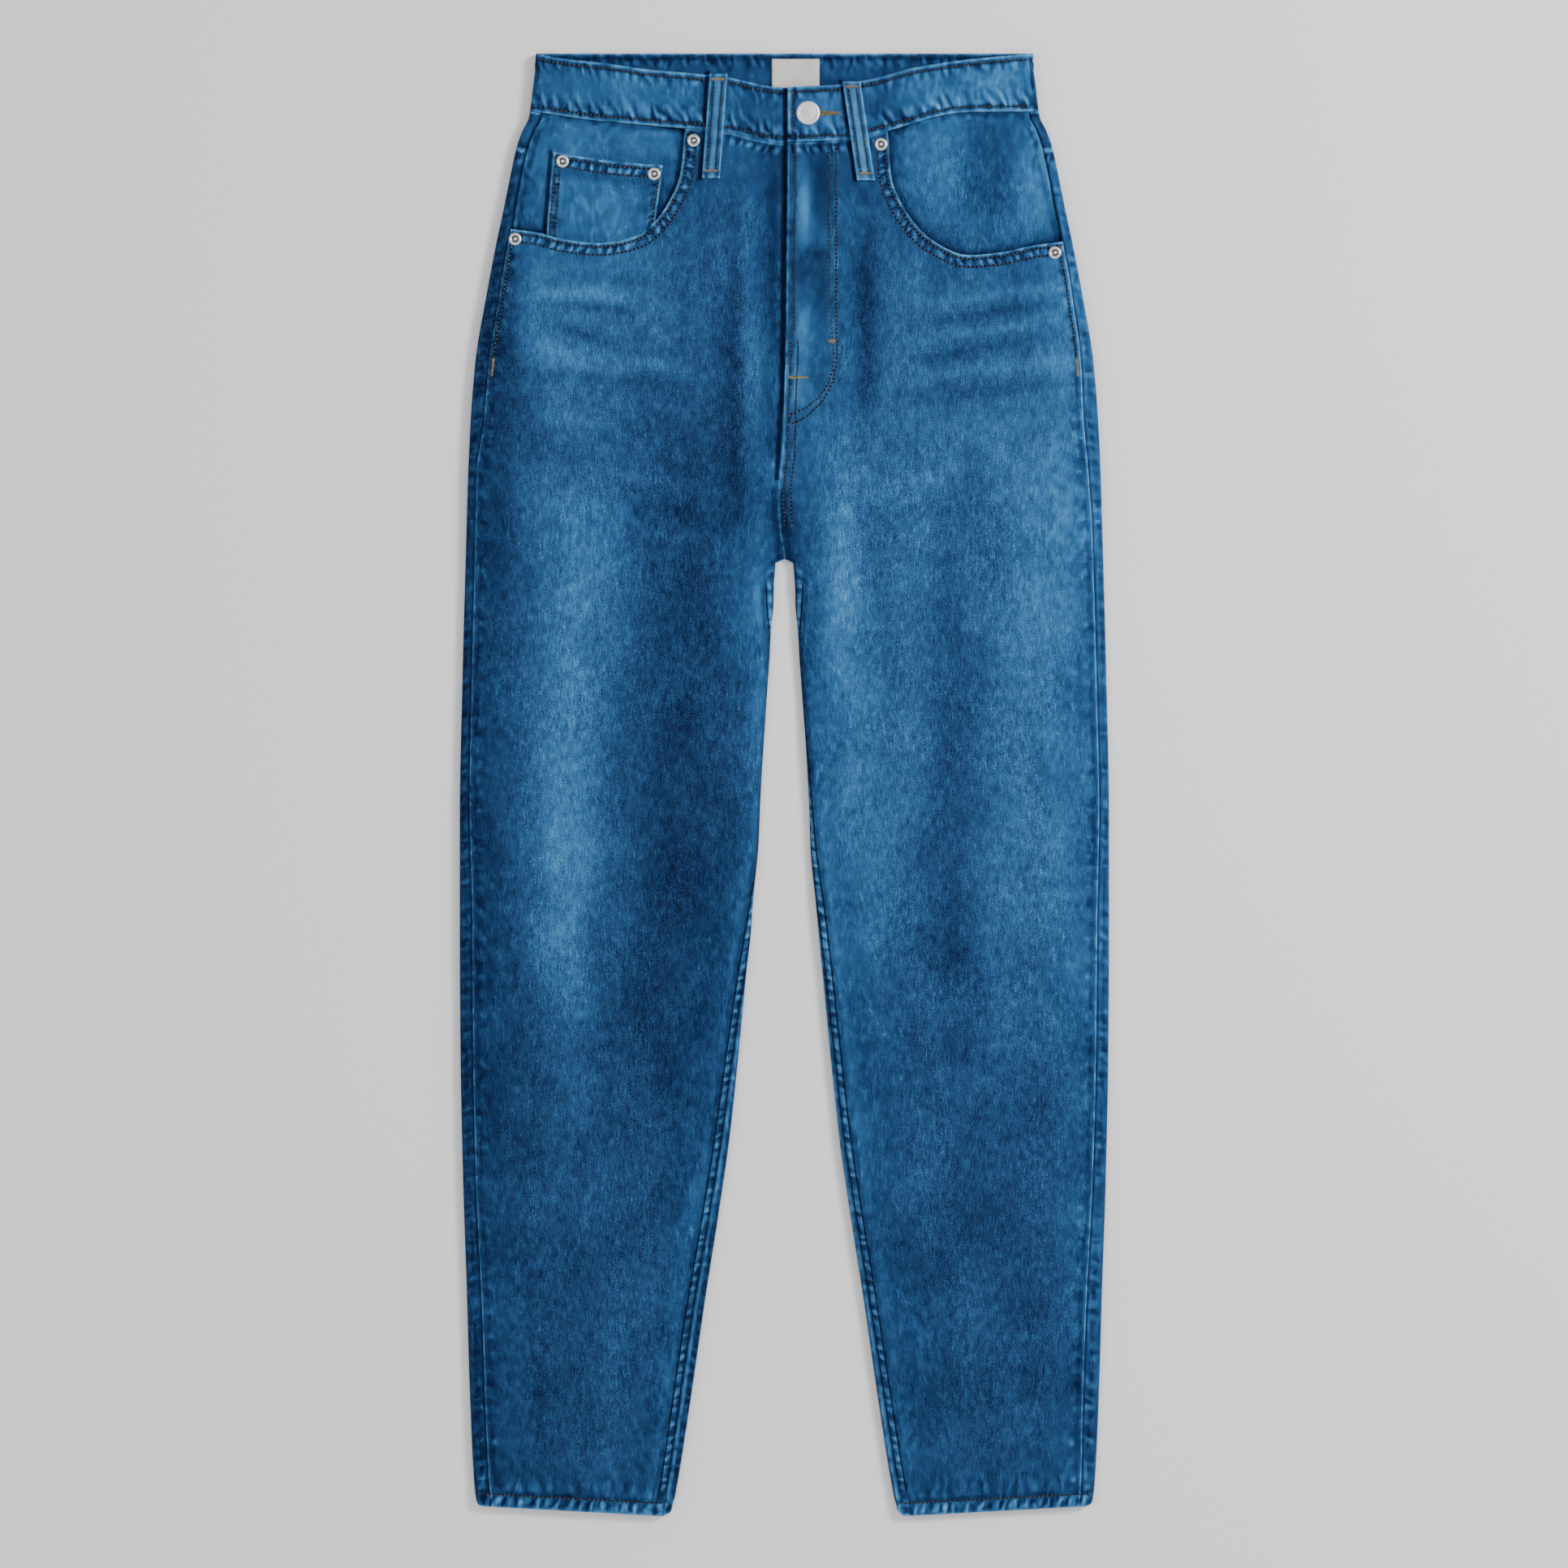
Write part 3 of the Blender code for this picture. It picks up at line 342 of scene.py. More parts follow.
# Whiskers and streaks of the wash, as soft lines of tone
WHISKERS = rows_of(
    Crease,
    (-195, 172, -100, 174, 6, 0.13), (-176, 178, -106, 186, 3, -0.14), (-168, 194, -120, 210, 4, -0.16),
    (-188, 204, -130, 229, 5, 0.12), (-192, 230, -72, 239, 6, -0.13), (-128, 215, -57, 233, 4, 0.11),
    (-150, 160, -92, 164, 4, -0.08), (-186, 262, -110, 268, 6, 0.07), (-190, 286, -124, 300, 6, -0.06),
    (-128, 296, -50, 316, 6, 0.07), (-112, 322, -34, 338, 6, -0.08), (-160, 318, -60, 352, 8, 0.05),
    (198, 166, 96, 182, 4, 0.12), (198, 178, 100, 194, 3, -0.12), (200, 190, 96, 207, 4, 0.11),
    (200, 203, 92, 220, 4, -0.11), (204, 218, 90, 235, 5, 0.10), (206, 236, 76, 250, 6, -0.10),
    (204, 262, 120, 268, 6, 0.06), (130, 296, 56, 318, 6, 0.06), (120, 324, 44, 340, 6, -0.06),
    (-37, 110, -34, 330, 6, -0.13), (-92, 610, -196, 640, 12, 0.04), (88, 640, 190, 660, 12, -0.05),
    (-70, 700, -150, 716, 12, -0.04), (74, 730, 160, 742, 12, 0.04), (-120, 860, -124, 1010, 9, 0.05),
    (-178, 880, -176, 1020, 8, -0.05), (132, 860, 136, 1010, 9, 0.05),
)
FACING_FADES = rows_of(
    Fade,
    (-120, 60, 50, 16, 0.10), (150, 74, 20, 40, -0.14), (110, 84, 22, 40, 0.10), (178, 96, 14, 40, 0.16),
    (-184, 90, 10, 50, -0.10), (-90, 120, 30, 18, -0.06),
)
BAND_FADES = rows_of(
    Fade,
    (-120, 26, 36, 20, 0.10), (-20, 44, 12, 30, -0.12), (20, 44, 16, 16, 0.14), (100, 24, 20, 20, 0.10),
    (150, 22, 22, 26, 0.16), (70, 44, 10, 26, -0.10), (-160, 20, 14, 30, -0.06),
)


def ground_tone(drop: Array) -> Array:
    """Tone of the plain cloth by drop: paler at the hips, darker down the legs."""
    return Curve(((0, 0.38), (300, 0.36), (560, 0.32), (720, 0.28), (860, 0.27), (1050, 0.27)))(drop)


def wash(x: Array, drop: Array, patches: tuple = FADES) -> Array:
    """Tone from 0, dark, to 1, pale, at places on the upper side."""
    return ground_tone(drop) + sum(patch.at(x, drop) for patch in (*patches, *WHISKERS))


class LegTube:
    """Flattened tube of one leg and the hip above it."""

    def __init__(self, side: Side) -> None:
        """Args:
            side: Wearer's side.
        """
        self.side = side
        self.sign = side.value

    def sizes(self, drop: Array) -> dict[str, Array]:
        """Sizes of the section at each drop."""
        upper, under = UPPER_LEVEL(drop), UNDER_LEVEL(drop)
        radius = (upper - under) / 2
        apex = OUTER_EDGE(drop) - CLOTH / 2
        quarter = math.pi * radius / 2
        inner_apex = INNER_EDGE(drop) + CLOTH / 2
        return {
            "radius": radius, "middle": (upper + under) / 2, "quarter": quarter, "apex": apex,
            "inner_apex": inner_apex, "inner_start": quarter + apex - inner_apex - 2 * radius,
        }

    def run_at(self, out: Array, drop: Array) -> Array:
        """Run over the top to a distance from the centre."""
        s = self.sizes(drop)
        return s["quarter"] + s["apex"] - s["radius"] - out

    def out_at(self, run: Array, drop: Array) -> Array:
        """Distance from the centre of a run on the flat of the top."""
        s = self.sizes(drop)
        return s["apex"] - s["radius"] - (run - s["quarter"])

    def place(self, run: Array, drop: Array) -> tuple[Array, Array]:
        """Points of the middle of the cloth.

        Args:
            run: Runs round the tube.
            drop: Drops, the same shape as run.

        Returns:
            Points with a last axis of three, and how far each faces up, from -1 to 1.
        """
        run, drop = np.broadcast_arrays(np.asarray(run, float), np.asarray(drop, float))
        s = self.sizes(drop)
        length, radius, quarter = np.abs(run), s["radius"], s["quarter"]
        folded = length <= quarter
        out = np.where(folded, s["apex"] - radius + radius * np.cos(length / radius),
                       s["apex"] - radius - (length - quarter))
        rise = np.where(folded, radius * np.sin(length / radius), radius)
        eased = ease((length - quarter) / EDGE_EASE)
        legs = drop > CROTCH_DROP
        turn = (length - s["inner_start"]) / radius
        around = legs & (turn > 0) & (turn <= math.pi)
        beyond = legs & (turn > math.pi)
        out = np.where(around, s["inner_apex"] + radius * (1 - np.sin(turn)), out)
        rise = np.where(around, radius * np.cos(turn), rise)
        out = np.where(beyond, s["inner_apex"] + radius * (1 + turn - math.pi), out)
        rise = np.where(beyond, -radius, rise)
        eased = np.where(legs, eased * ease((s["inner_start"] - length) / EDGE_EASE), eased)
        facing = np.where(run >= 0, rise, -rise) / radius
        x = self.sign * out
        height = s["middle"] + facing * radius
        height = height + np.where(run > 0, eased * self.relief(x, drop), 0.0)
        return np.stack((x, LENGTH / 2 - drop, height), axis=-1), facing

    def relief(self, x: Array, drop: Array) -> Array:
        """Crown, troughs, fly and crotch of the upper layer, as the solids have them."""
        leg = ease((drop - 330.0) / 90.0)
        middle, half = (OUTER_EDGE(drop) + INNER_EDGE(drop)) / 2, (OUTER_EDGE(drop) - INNER_EDGE(drop)) / 2
        height = 0.5 * leg * np.maximum(0.0, 1.0 - ((np.abs(x) - middle) / half) ** 2)
        height = height + sum(trough.at(x, drop) for trough in TROUGHS)
        along = 1.0 - ease((drop - (FLY_END_DROP + 4.0)) / 30.0)
        if self.side is Side.LEFT:
            height = height + FLY_RISE * along * (1.0 - ease((x - 24.0) / 20.0))
        else:
            height = height - UNDERLAP_DIP * along * ease((x - CENTRE_FRONT(drop) + 8.0) / 6.5)
        deep = ease((drop - 305.0) / 47.0) * (drop <= CROTCH_DROP)
        floor = UNDER_LEVEL(drop) + CLOTH + 0.5
        share = 1.0 - ease(np.abs(x - CENTRE_FRONT(drop)) / 13.0)
        return height - (UPPER_LEVEL(drop) - floor) * deep * share

    def inseam_run(self, drop: Array) -> Array:
        """Run of the inner leg seam over the top."""
        s = self.sizes(drop)
        return s["inner_start"] + s["quarter"] - INSEAM[self.side](drop)

    def side_run(self, drop: Array) -> Array:
        """Run of the side seam."""
        return self.run_at(OUTER_EDGE(drop) - SIDE_SEAM[self.side](drop), drop)

    def front_ladder(self, drop: Array) -> Array:
        """Runs of the last six guide columns of the front, by the centre or the inner leg."""
        plain = np.array((14.0, 9.0, 5.5, 3.0, 1.2, SEAM_GAP / 2)).reshape(6, *([1] * drop.ndim))
        if self.side is Side.RIGHT:
            tucked = np.array((14.0, 7.5, 1.5, -6.0, -14.0, -UNDERLAP)).reshape(plain.shape)
            plain = mix(tucked, plain, ease((drop - (FLY_END_DROP - 20.0)) / 26.0))
        hip = self.run_at(self.sign * CENTRE_FRONT(drop) + plain, drop)
        s, seam = self.sizes(drop), INSEAM[self.side](drop)
        steps = [np.maximum(s["quarter"] * share, seam + 0.8 * (5 - k)) for k, share in
                 enumerate((1.0, 0.5, 0.0, -0.5, -1.0))]
        leg = s["inner_start"] + s["quarter"] - np.stack([*steps, seam + SEAM_GAP / 2])
        return np.where(drop <= CROTCH_DROP, hip, leg)

    def back_ladder(self, drop: Array) -> Array:
        """Runs of the guide columns of the back, from the side seam round the fold and underneath."""
        s, first = self.sizes(drop), self.side_run(drop) - SEAM_GAP / 2
        quarter = s["quarter"]
        strip = [first, mix(first, quarter, 0.55), *(quarter * k for k in (1.0, 0.5, 0.0, -0.5, -1.0))]
        hip = [-self.run_at(out, drop) for out in (14.0, 10.5, 7.5, 4.8, 2.2, SEAM_GAP / 2)]
        seam = INSEAM[self.side](drop)
        steps = [np.minimum(quarter * share, seam - 0.8 * (5 - k)) for k, share in
                 enumerate((-1.0, -0.5, 0.0, 0.5, 1.0))]
        leg = [-(s["inner_start"] + quarter + step) for step in (*steps, seam - SEAM_GAP / 2)]
        inner = [np.where(drop <= CROTCH_DROP, a, b) for a, b in zip(hip, leg)]
        last = inner[0] + 8.0
        flat = [mix(-quarter, last, (k + 1) / 5) for k in range(5)]
        return np.stack([*strip, *flat, *inner])


def between(ladder: Array, index: Array) -> Array:
    """Runs at fractional column indices of a ladder of guide columns.

    Args:
        ladder: Guide columns first, then rows, then one entry for each index.
        index: Fractional guide column of each fine column.

    Returns:
        Rows by fine columns.
    """
    low = np.clip(np.floor(index).astype(int), 0, ladder.shape[0] - 2)
    share = index - low
    columns = np.arange(len(index))
    return ladder[low, :, columns].T * (1 - share) + ladder[low + 1, :, columns].T * share


def spread(stops: tuple[float, ...], counts: tuple[int, ...]) -> Array:
    """Fractional indices spread evenly inside each stretch between stops."""
    parts = [np.linspace(a, b, n, endpoint=False) for a, b, n in zip(stops, stops[1:], counts)]
    return np.concatenate([*parts, stops[-1:]])


def hem_sloped(drop: Array, share: Array) -> Array:
    """The hem is higher at the side seam than at the inner leg."""
    slope = ease((drop - 900.0) / (HEM_DROP - 900.0))
    return drop + slope * HEM_SLOPE * (np.clip(share, 0, 1) - 0.5)


def round_corners(points: Array, hem: Array, outer: float = 5.0, inner: float = 8.0) -> None:
    """Round the hem's corners: lift the cloth near the folds, in place.

    Args:
        points: Points of a leg panel.
        hem: Distance of each above the hem.
        outer: Radius at the outer fold.
        inner: Radius at the inner fold.
    """
    out, drop = np.abs(points[..., 0]), LENGTH / 2 - points[..., 1]
    for radius, away in ((outer, OUTER_EDGE(drop) - out), (inner, out - INNER_EDGE(drop))):
        near = np.clip(radius - away, 0.0, radius)
        rise = radius - np.sqrt(np.maximum(radius**2 - near**2, 0.0))
        points[..., 1] += 0.85 * rise * ease(1.0 - hem / 16.0)


def path_distance(points: Array, path: Array) -> tuple[Array, Array]:
    """Distance from points to a line of straight pieces, in the plane.

    Args:
        points: Places, with a last axis of two.
        path: Places along the line, in order.

    Returns:
        Shortest distance of each place, and how far along the line its nearest place is.
    """
    best, arc, done = np.full(points.shape[:-1], 1e9), np.zeros(points.shape[:-1]), 0.0
    for start, end in zip(path[:-1], path[1:]):
        along = end - start
        length = math.hypot(*along)
        share = np.clip(((points - start) @ along) / max(along @ along, 1e-9), 0, 1)
        away = np.hypot(*np.moveaxis(points - start - share[..., None] * along, -1, 0))
        arc = np.where(away < best, done + share * length, arc)
        best, done = np.minimum(best, away), done + length
    return best, arc


def smooth_path(controls: tuple, count: int) -> Array:
    """Places along a smooth curve through a few controls."""
    across = Curve(tuple((i, c[0]) for i, c in enumerate(controls)))
    down = Curve(tuple((i, c[1]) for i, c in enumerate(controls)))
    at = np.linspace(0, len(controls) - 1, count)
    return np.stack((across(at), down(at)), axis=-1)


# Colours of washed denim, from the darkest tone to the palest, linear
DENIM_RAMP = (
    (0.00, (0.0012, 0.0055, 0.026)),
    (0.20, (0.0085, 0.0300, 0.100)),
    (0.40, (0.0200, 0.0800, 0.232)),
    (0.60, (0.0390, 0.1600, 0.375)),
    (0.80, (0.0640, 0.2900, 0.600)),
    (1.00, (0.2000, 0.5400, 0.860)),
)


class NodeKit:
    """Short calls that add and join shader nodes in one tree."""

    def __init__(self, tree: bpy.types.NodeTree) -> None:
        """Args:
            tree: Node tree that the calls add to.
        """
        self.tree = tree

    def add(self, kind: str, **settings: object) -> bpy.types.Node:
        """Add a node of a kind and set its own properties."""
        node = self.tree.nodes.new(kind)
        for key, value in settings.items():
            setattr(node, key, value)
        return node

    def feed(self, socket: bpy.types.NodeSocket, value: object) -> None:
        """Join a socket to an input, or set its plain value."""
        if isinstance(value, bpy.types.NodeSocket):
            self.tree.links.new(value, socket)
        elif value is not None:
            socket.default_value = value

    def math(self, operation: str, first: object, second: object = None, third: object = None,
             clamp: bool = False) -> bpy.types.NodeSocket:
        """Add a Math node and return its result."""
        node = self.add("ShaderNodeMath", operation=operation, use_clamp=clamp)
        for socket, value in zip(node.inputs, (first, second, third)):
            self.feed(socket, value)
        return node.outputs[0]

    def band(self, value: object, low: float, high: float, to_low: float = 0.0,
             to_high: float = 1.0) -> bpy.types.NodeSocket:
        """Map a range smoothly onto another and hold its ends."""
        node = self.add("ShaderNodeMapRange", interpolation_type="SMOOTHSTEP")
        for name, entry in (("Value", value), ("From Min", low), ("From Max", high), ("To Min", to_low),
                            ("To Max", to_high)):
            self.feed(node.inputs[name], entry)
        return node.outputs["Result"]

    def stretch(self, vector: object, scale: tuple[float, float, float], turn: float = 0.0) -> object:
        """Scale a vector, and turn it about Z by degrees first."""
        node = self.add("ShaderNodeMapping", vector_type="POINT")
        turned = vector
        if turn:
            twist = self.add("ShaderNodeMapping", vector_type="POINT")
            self.feed(twist.inputs["Vector"], vector)
            twist.inputs["Rotation"].default_value = (0.0, 0.0, math.radians(turn))
            turned = twist.outputs[0]
        self.feed(node.inputs["Vector"], turned)
        node.inputs["Scale"].default_value = scale
        return node.outputs[0]

    def noise(self, vector: object, scale: float = 1.0, detail: float = 2.0,
              roughness: float = 0.5) -> bpy.types.NodeSocket:
        """Add a Noise Texture and return its value."""
        node = self.add("ShaderNodeTexNoise", noise_dimensions="3D")
        self.feed(node.inputs["Vector"], vector)
        self.fill(node, Scale=scale, Detail=detail, Roughness=roughness)
        return node.outputs[0]


    @staticmethod
    def fill(node: bpy.types.Node, **values: object) -> None:
        """Set plain inputs of a node by name, where an underscore stands for a space."""
        for name, value in values.items():
            node.inputs[name.replace("_", " ")].default_value = value

    def shared(self, name: str) -> bpy.types.Node:
        """Add a node that uses a shared group."""
        return self.add("ShaderNodeGroup", node_tree=bpy.data.node_groups[name])

    def mark(self, name: str) -> bpy.types.NodeSocket:
        """Read a float attribute of the piece."""
        return self.add("ShaderNodeAttribute", attribute_name=name).outputs["Fac"]

    def blend(self, factor: object, first: tuple, second: tuple) -> bpy.types.NodeSocket:
        """Mix two colours by a factor."""
        node = self.add("ShaderNodeMix", data_type="RGBA")
        self.feed(node.inputs["Factor"], factor)
        node.inputs["A"].default_value, node.inputs["B"].default_value = (*first, 1.0), (*second, 1.0)
        return node.outputs["Result"]

    def bump(self, shader: bpy.types.Node, height: object, strength: float, distance: float) -> None:
        """Let a height bend the light on a shader."""
        node = self.add("ShaderNodeBump")
        self.fill(node, Strength=strength, Distance=distance)
        self.feed(node.inputs["Height"], height)
        self.feed(shader.inputs["Normal"], node.outputs["Normal"])


def start_material(
    name: str, turn: float = 0.0
) -> tuple[bpy.types.Material, NodeKit, bpy.types.Node, object]:
    """Start a material.

    Args:
        name: Material name.
        turn: Turn of its pattern about Z, in degrees.
    """
    made = bpy.data.materials.new(name)
    made.use_nodes = True
    kit = NodeKit(made.node_tree)
    place = kit.stretch(kit.add("ShaderNodeTexCoord").outputs["Object"], (1000.0, 1000.0, 1000.0), turn)
    return made, kit, made.node_tree.nodes["Principled BSDF"], place


def new_group(name: str, inputs: tuple, outputs: tuple) -> tuple[NodeKit, object, object]:
    """Start a shader node group.

    Args:
        name: Group name.
        inputs: Rows of input name, socket type and start value.
        outputs: Rows of output name and socket type.
    """
    tree = bpy.data.node_groups.new(name, "ShaderNodeTree")
    for label, kind, value in inputs:
        socket = tree.interface.new_socket(name=label, in_out="INPUT", socket_type=kind)
        if value is not None:
            socket.default_value = value
    for label, kind in outputs:
        tree.interface.new_socket(name=label, in_out="OUTPUT", socket_type=kind)
    return NodeKit(tree), tree.nodes.new("NodeGroupInput"), tree.nodes.new("NodeGroupOutput")


def twill_group() -> bpy.types.NodeTree:
    """Twill lines, slub streaks and wash mottling. The vector is in millimetres.

    Returns:
        The group, with a tone shift and a height.
    """
    kit, start, end = new_group(
        "twill_weave",
        (("Vector", VECTOR, None),),
        (("Tone", FLOAT), ("Height", FLOAT)),
    )
    place = start.outputs["Vector"]
    wave = kit.add("ShaderNodeTexWave", wave_type="BANDS", bands_direction="X", wave_profile="SIN")
    kit.feed(wave.inputs["Vector"], kit.stretch(place, (1.0, 1.0, 1.0), 45.0))
    kit.fill(wave, Scale=0.275, Distortion=0.9, Detail=2.0, Detail_Scale=2.2)
    lines = wave.outputs["Fac"]
    slub = kit.noise(kit.stretch(place, (1.5, 0.13, 1.0)), 1.0, 2.0, 0.6)
    grain = kit.noise(kit.stretch(place, (1.9, 1.25, 1.0), 24.0), 1.0, 2.0, 0.7)
    mottle = kit.noise(kit.stretch(place, (0.22, 0.12, 0.2)), 1.0, 3.0, 0.6)
    cloud = kit.noise(kit.stretch(place, (0.035, 0.022, 0.05)), 1.0, 2.0, 0.5)
    fleck = kit.band(kit.noise(kit.stretch(place, (1.5, 0.22, 1.0), -6.0), 1.0, 1.0, 0.5), 0.63, 0.72)
    parts = ((lines, 0.56), (slub, 0.72), (grain, 1.25), (mottle, 0.48), (cloud, 0.34))
    total = -0.075
    for value, weight in parts:
        centred = kit.math("MULTIPLY", kit.math("SUBTRACT", value, 0.5), weight)
        total = kit.math("ADD", total, centred)
    total = kit.math("ADD", total, kit.math("MULTIPLY", fleck, 0.18))
    kit.feed(end.inputs["Tone"], total)
    height = kit.math("ADD", kit.math("MULTIPLY", lines, 0.7), kit.math("MULTIPLY", grain, 0.8))
    kit.feed(end.inputs["Height"], height)
    return kit.tree


def seam_group() -> bpy.types.NodeTree:
    """Worn crest, dark groove and puckers beside a seam.

    Returns:
        The group: distance to the edge and place in millimetres give a tone shift and a height.
    """
    kit, start, end = new_group(
        "seam_wear",
        (("Vector", VECTOR, None), ("Distance", FLOAT, 99.0), ("Crest", FLOAT, 0.5), ("Width", FLOAT, 2.0),
         ("Groove", FLOAT, 0.3), ("Groove At", FLOAT, 4.0), ("Pucker", FLOAT, 0.3), ("Reach", FLOAT, 14.0)),
        (("Tone", FLOAT), ("Height", FLOAT)),
    )
    place, distance = start.outputs["Vector"], start.outputs["Distance"]
    uneven = kit.noise(kit.stretch(place, (0.16, 0.16, 0.16)), 1.0, 3.0, 0.6)
    fine = kit.noise(kit.stretch(place, (0.7, 0.7, 0.7)), 1.0, 2.0, 0.6)
    crest = kit.math("MULTIPLY", kit.band(distance, start.outputs["Width"], 0.3),
                     kit.band(uneven, 0.30, 0.62, 0.35, 1.0))
    crest = kit.math("MULTIPLY", crest, kit.band(fine, 0.25, 0.6, 0.5, 1.15))
    offset = kit.math("ABSOLUTE", kit.math("SUBTRACT", distance, start.outputs["Groove At"]))
    groove = kit.math("MULTIPLY", kit.band(offset, 2.4, 0.3), kit.band(uneven, 0.70, 0.35, 0.3, 1.0))
    near = kit.band(distance, start.outputs["Reach"], 2.0)
    wave = kit.math("MULTIPLY", kit.math("SUBTRACT", uneven, 0.5), 2.2)
    pucker = kit.math("MULTIPLY", near, wave)
    tone = kit.math("MULTIPLY", crest, start.outputs["Crest"])
    tone = kit.math("SUBTRACT", tone, kit.math("MULTIPLY", groove, start.outputs["Groove"]))
    tone = kit.math("ADD", tone, kit.math("MULTIPLY", pucker, start.outputs["Pucker"]))
    kit.feed(end.inputs["Tone"], tone)
    kit.feed(end.inputs["Height"], kit.math("ADD", kit.math("MULTIPLY", crest, 0.6), pucker))
    return kit.tree


@dataclass(frozen=True)
class SeamLook:
    """How one edge of a piece is worn: strengths of the crest, groove and puckers. A minus crest paints a
    shadow line along the edge instead.
    """

    edge: str
    crest: float = 0.45
    width: float = 2.2
    groove: float = 0.25
    groove_at: float = 4.2
    pucker: float = 0.25
    reach: float = 14.0


def rope_group() -> bpy.types.NodeTree:
    """Slanting puckers along a sewn edge.

    Returns:
        The group: place along the edge and distance from it, in millimetres, give a tone shift.
    """
    kit, start, end = new_group(
        "seam_rope",
        (("Along", FLOAT, 0.0), ("Distance", FLOAT, 99.0), ("Pitch", FLOAT, 7.0), ("Slant", FLOAT, 0.5),
         ("Centre", FLOAT, 5.0), ("Half", FLOAT, 4.0)),
        (("Tone", FLOAT),),
    )
    pin = start.outputs
    line = kit.add("ShaderNodeCombineXYZ")
    kit.feed(line.inputs["X"], kit.math("MULTIPLY", pin["Along"], 0.07))
    kit.feed(line.inputs["Y"], kit.math("MULTIPLY", pin["Distance"], 0.03))
    wander = kit.noise(line.outputs[0], 1.0, 2.0, 0.6)
    uneven = kit.noise(kit.stretch(line.outputs[0], (2.3, 1.0, 1.0)), 1.0, 1.0, 0.5)
    turn = kit.math("ADD", pin["Along"], kit.math("MULTIPLY", pin["Distance"], pin["Slant"]))
    turn = kit.math("MULTIPLY", kit.math("DIVIDE", turn, pin["Pitch"]), 2 * math.pi)
    wave = kit.math("SINE", kit.math("ADD", turn, kit.math("MULTIPLY", wander, 16.0)))
    away = kit.math("ABSOLUTE", kit.math("SUBTRACT", pin["Distance"], pin["Centre"]))
    away = kit.math("DIVIDE", away, pin["Half"])
    near = kit.band(away, 1.3, 0.1)
    kit.feed(end.inputs["Tone"], kit.math(
        "MULTIPLY", kit.math("MULTIPLY", wave, near), kit.band(uneven, 0.30, 0.65, 0.3, 1.15)))
    return kit.tree


@dataclass(frozen=True)
class RopeLook:
    """Puckers along one edge: what runs along it, x, y or an attribute, then sizes and strength."""

    edge: str
    along: str
    pitch: float
    slant: float
    centre: float
    half: float
    amount: float


def line_group() -> bpy.types.NodeTree:
    """Soft straight line between two places. The vector is in millimetres.

    Returns:
        The group, with a mask that is 1 on the line.
    """
    kit, start, end = new_group(
        "soft_line",
        (("Vector", VECTOR, None), ("From X", FLOAT, 0.0), ("From Y", FLOAT, 0.0), ("To X", FLOAT, 0.0),
         ("To Y", FLOAT, 1.0), ("Half Width", FLOAT, 2.0)),
        (("Mask", FLOAT),),
    )
    place = kit.add("ShaderNodeSeparateXYZ")
    kit.feed(place.inputs[0], start.outputs["Vector"])
    pin = start.outputs
    share = kit.math("DIVIDE", kit.math("SUBTRACT", place.outputs["Y"], pin["From Y"]),
                     kit.math("SUBTRACT", pin["To Y"], pin["From Y"]))
    across = kit.math("MULTIPLY", share, kit.math("SUBTRACT", pin["To X"], pin["From X"]))
    middle = kit.math("ADD", pin["From X"], across)
    away = kit.math("ABSOLUTE", kit.math("SUBTRACT", place.outputs["X"], middle))
    mask = kit.band(away, pin["Half Width"], 0.2)
    ends = kit.band(kit.math("ABSOLUTE", kit.math("SUBTRACT", share, 0.5)), 0.515, 0.495)
    kit.feed(end.inputs["Mask"], kit.math("MULTIPLY", mask, ends))
    return kit.tree


@dataclass(frozen=True)
class ShadeLine:
    """A soft dark or pale line on the cloth between two places, as distance from the centre and drop."""

    start: tuple[float, float]
    end: tuple[float, float]
    half_width: float
    amount: float


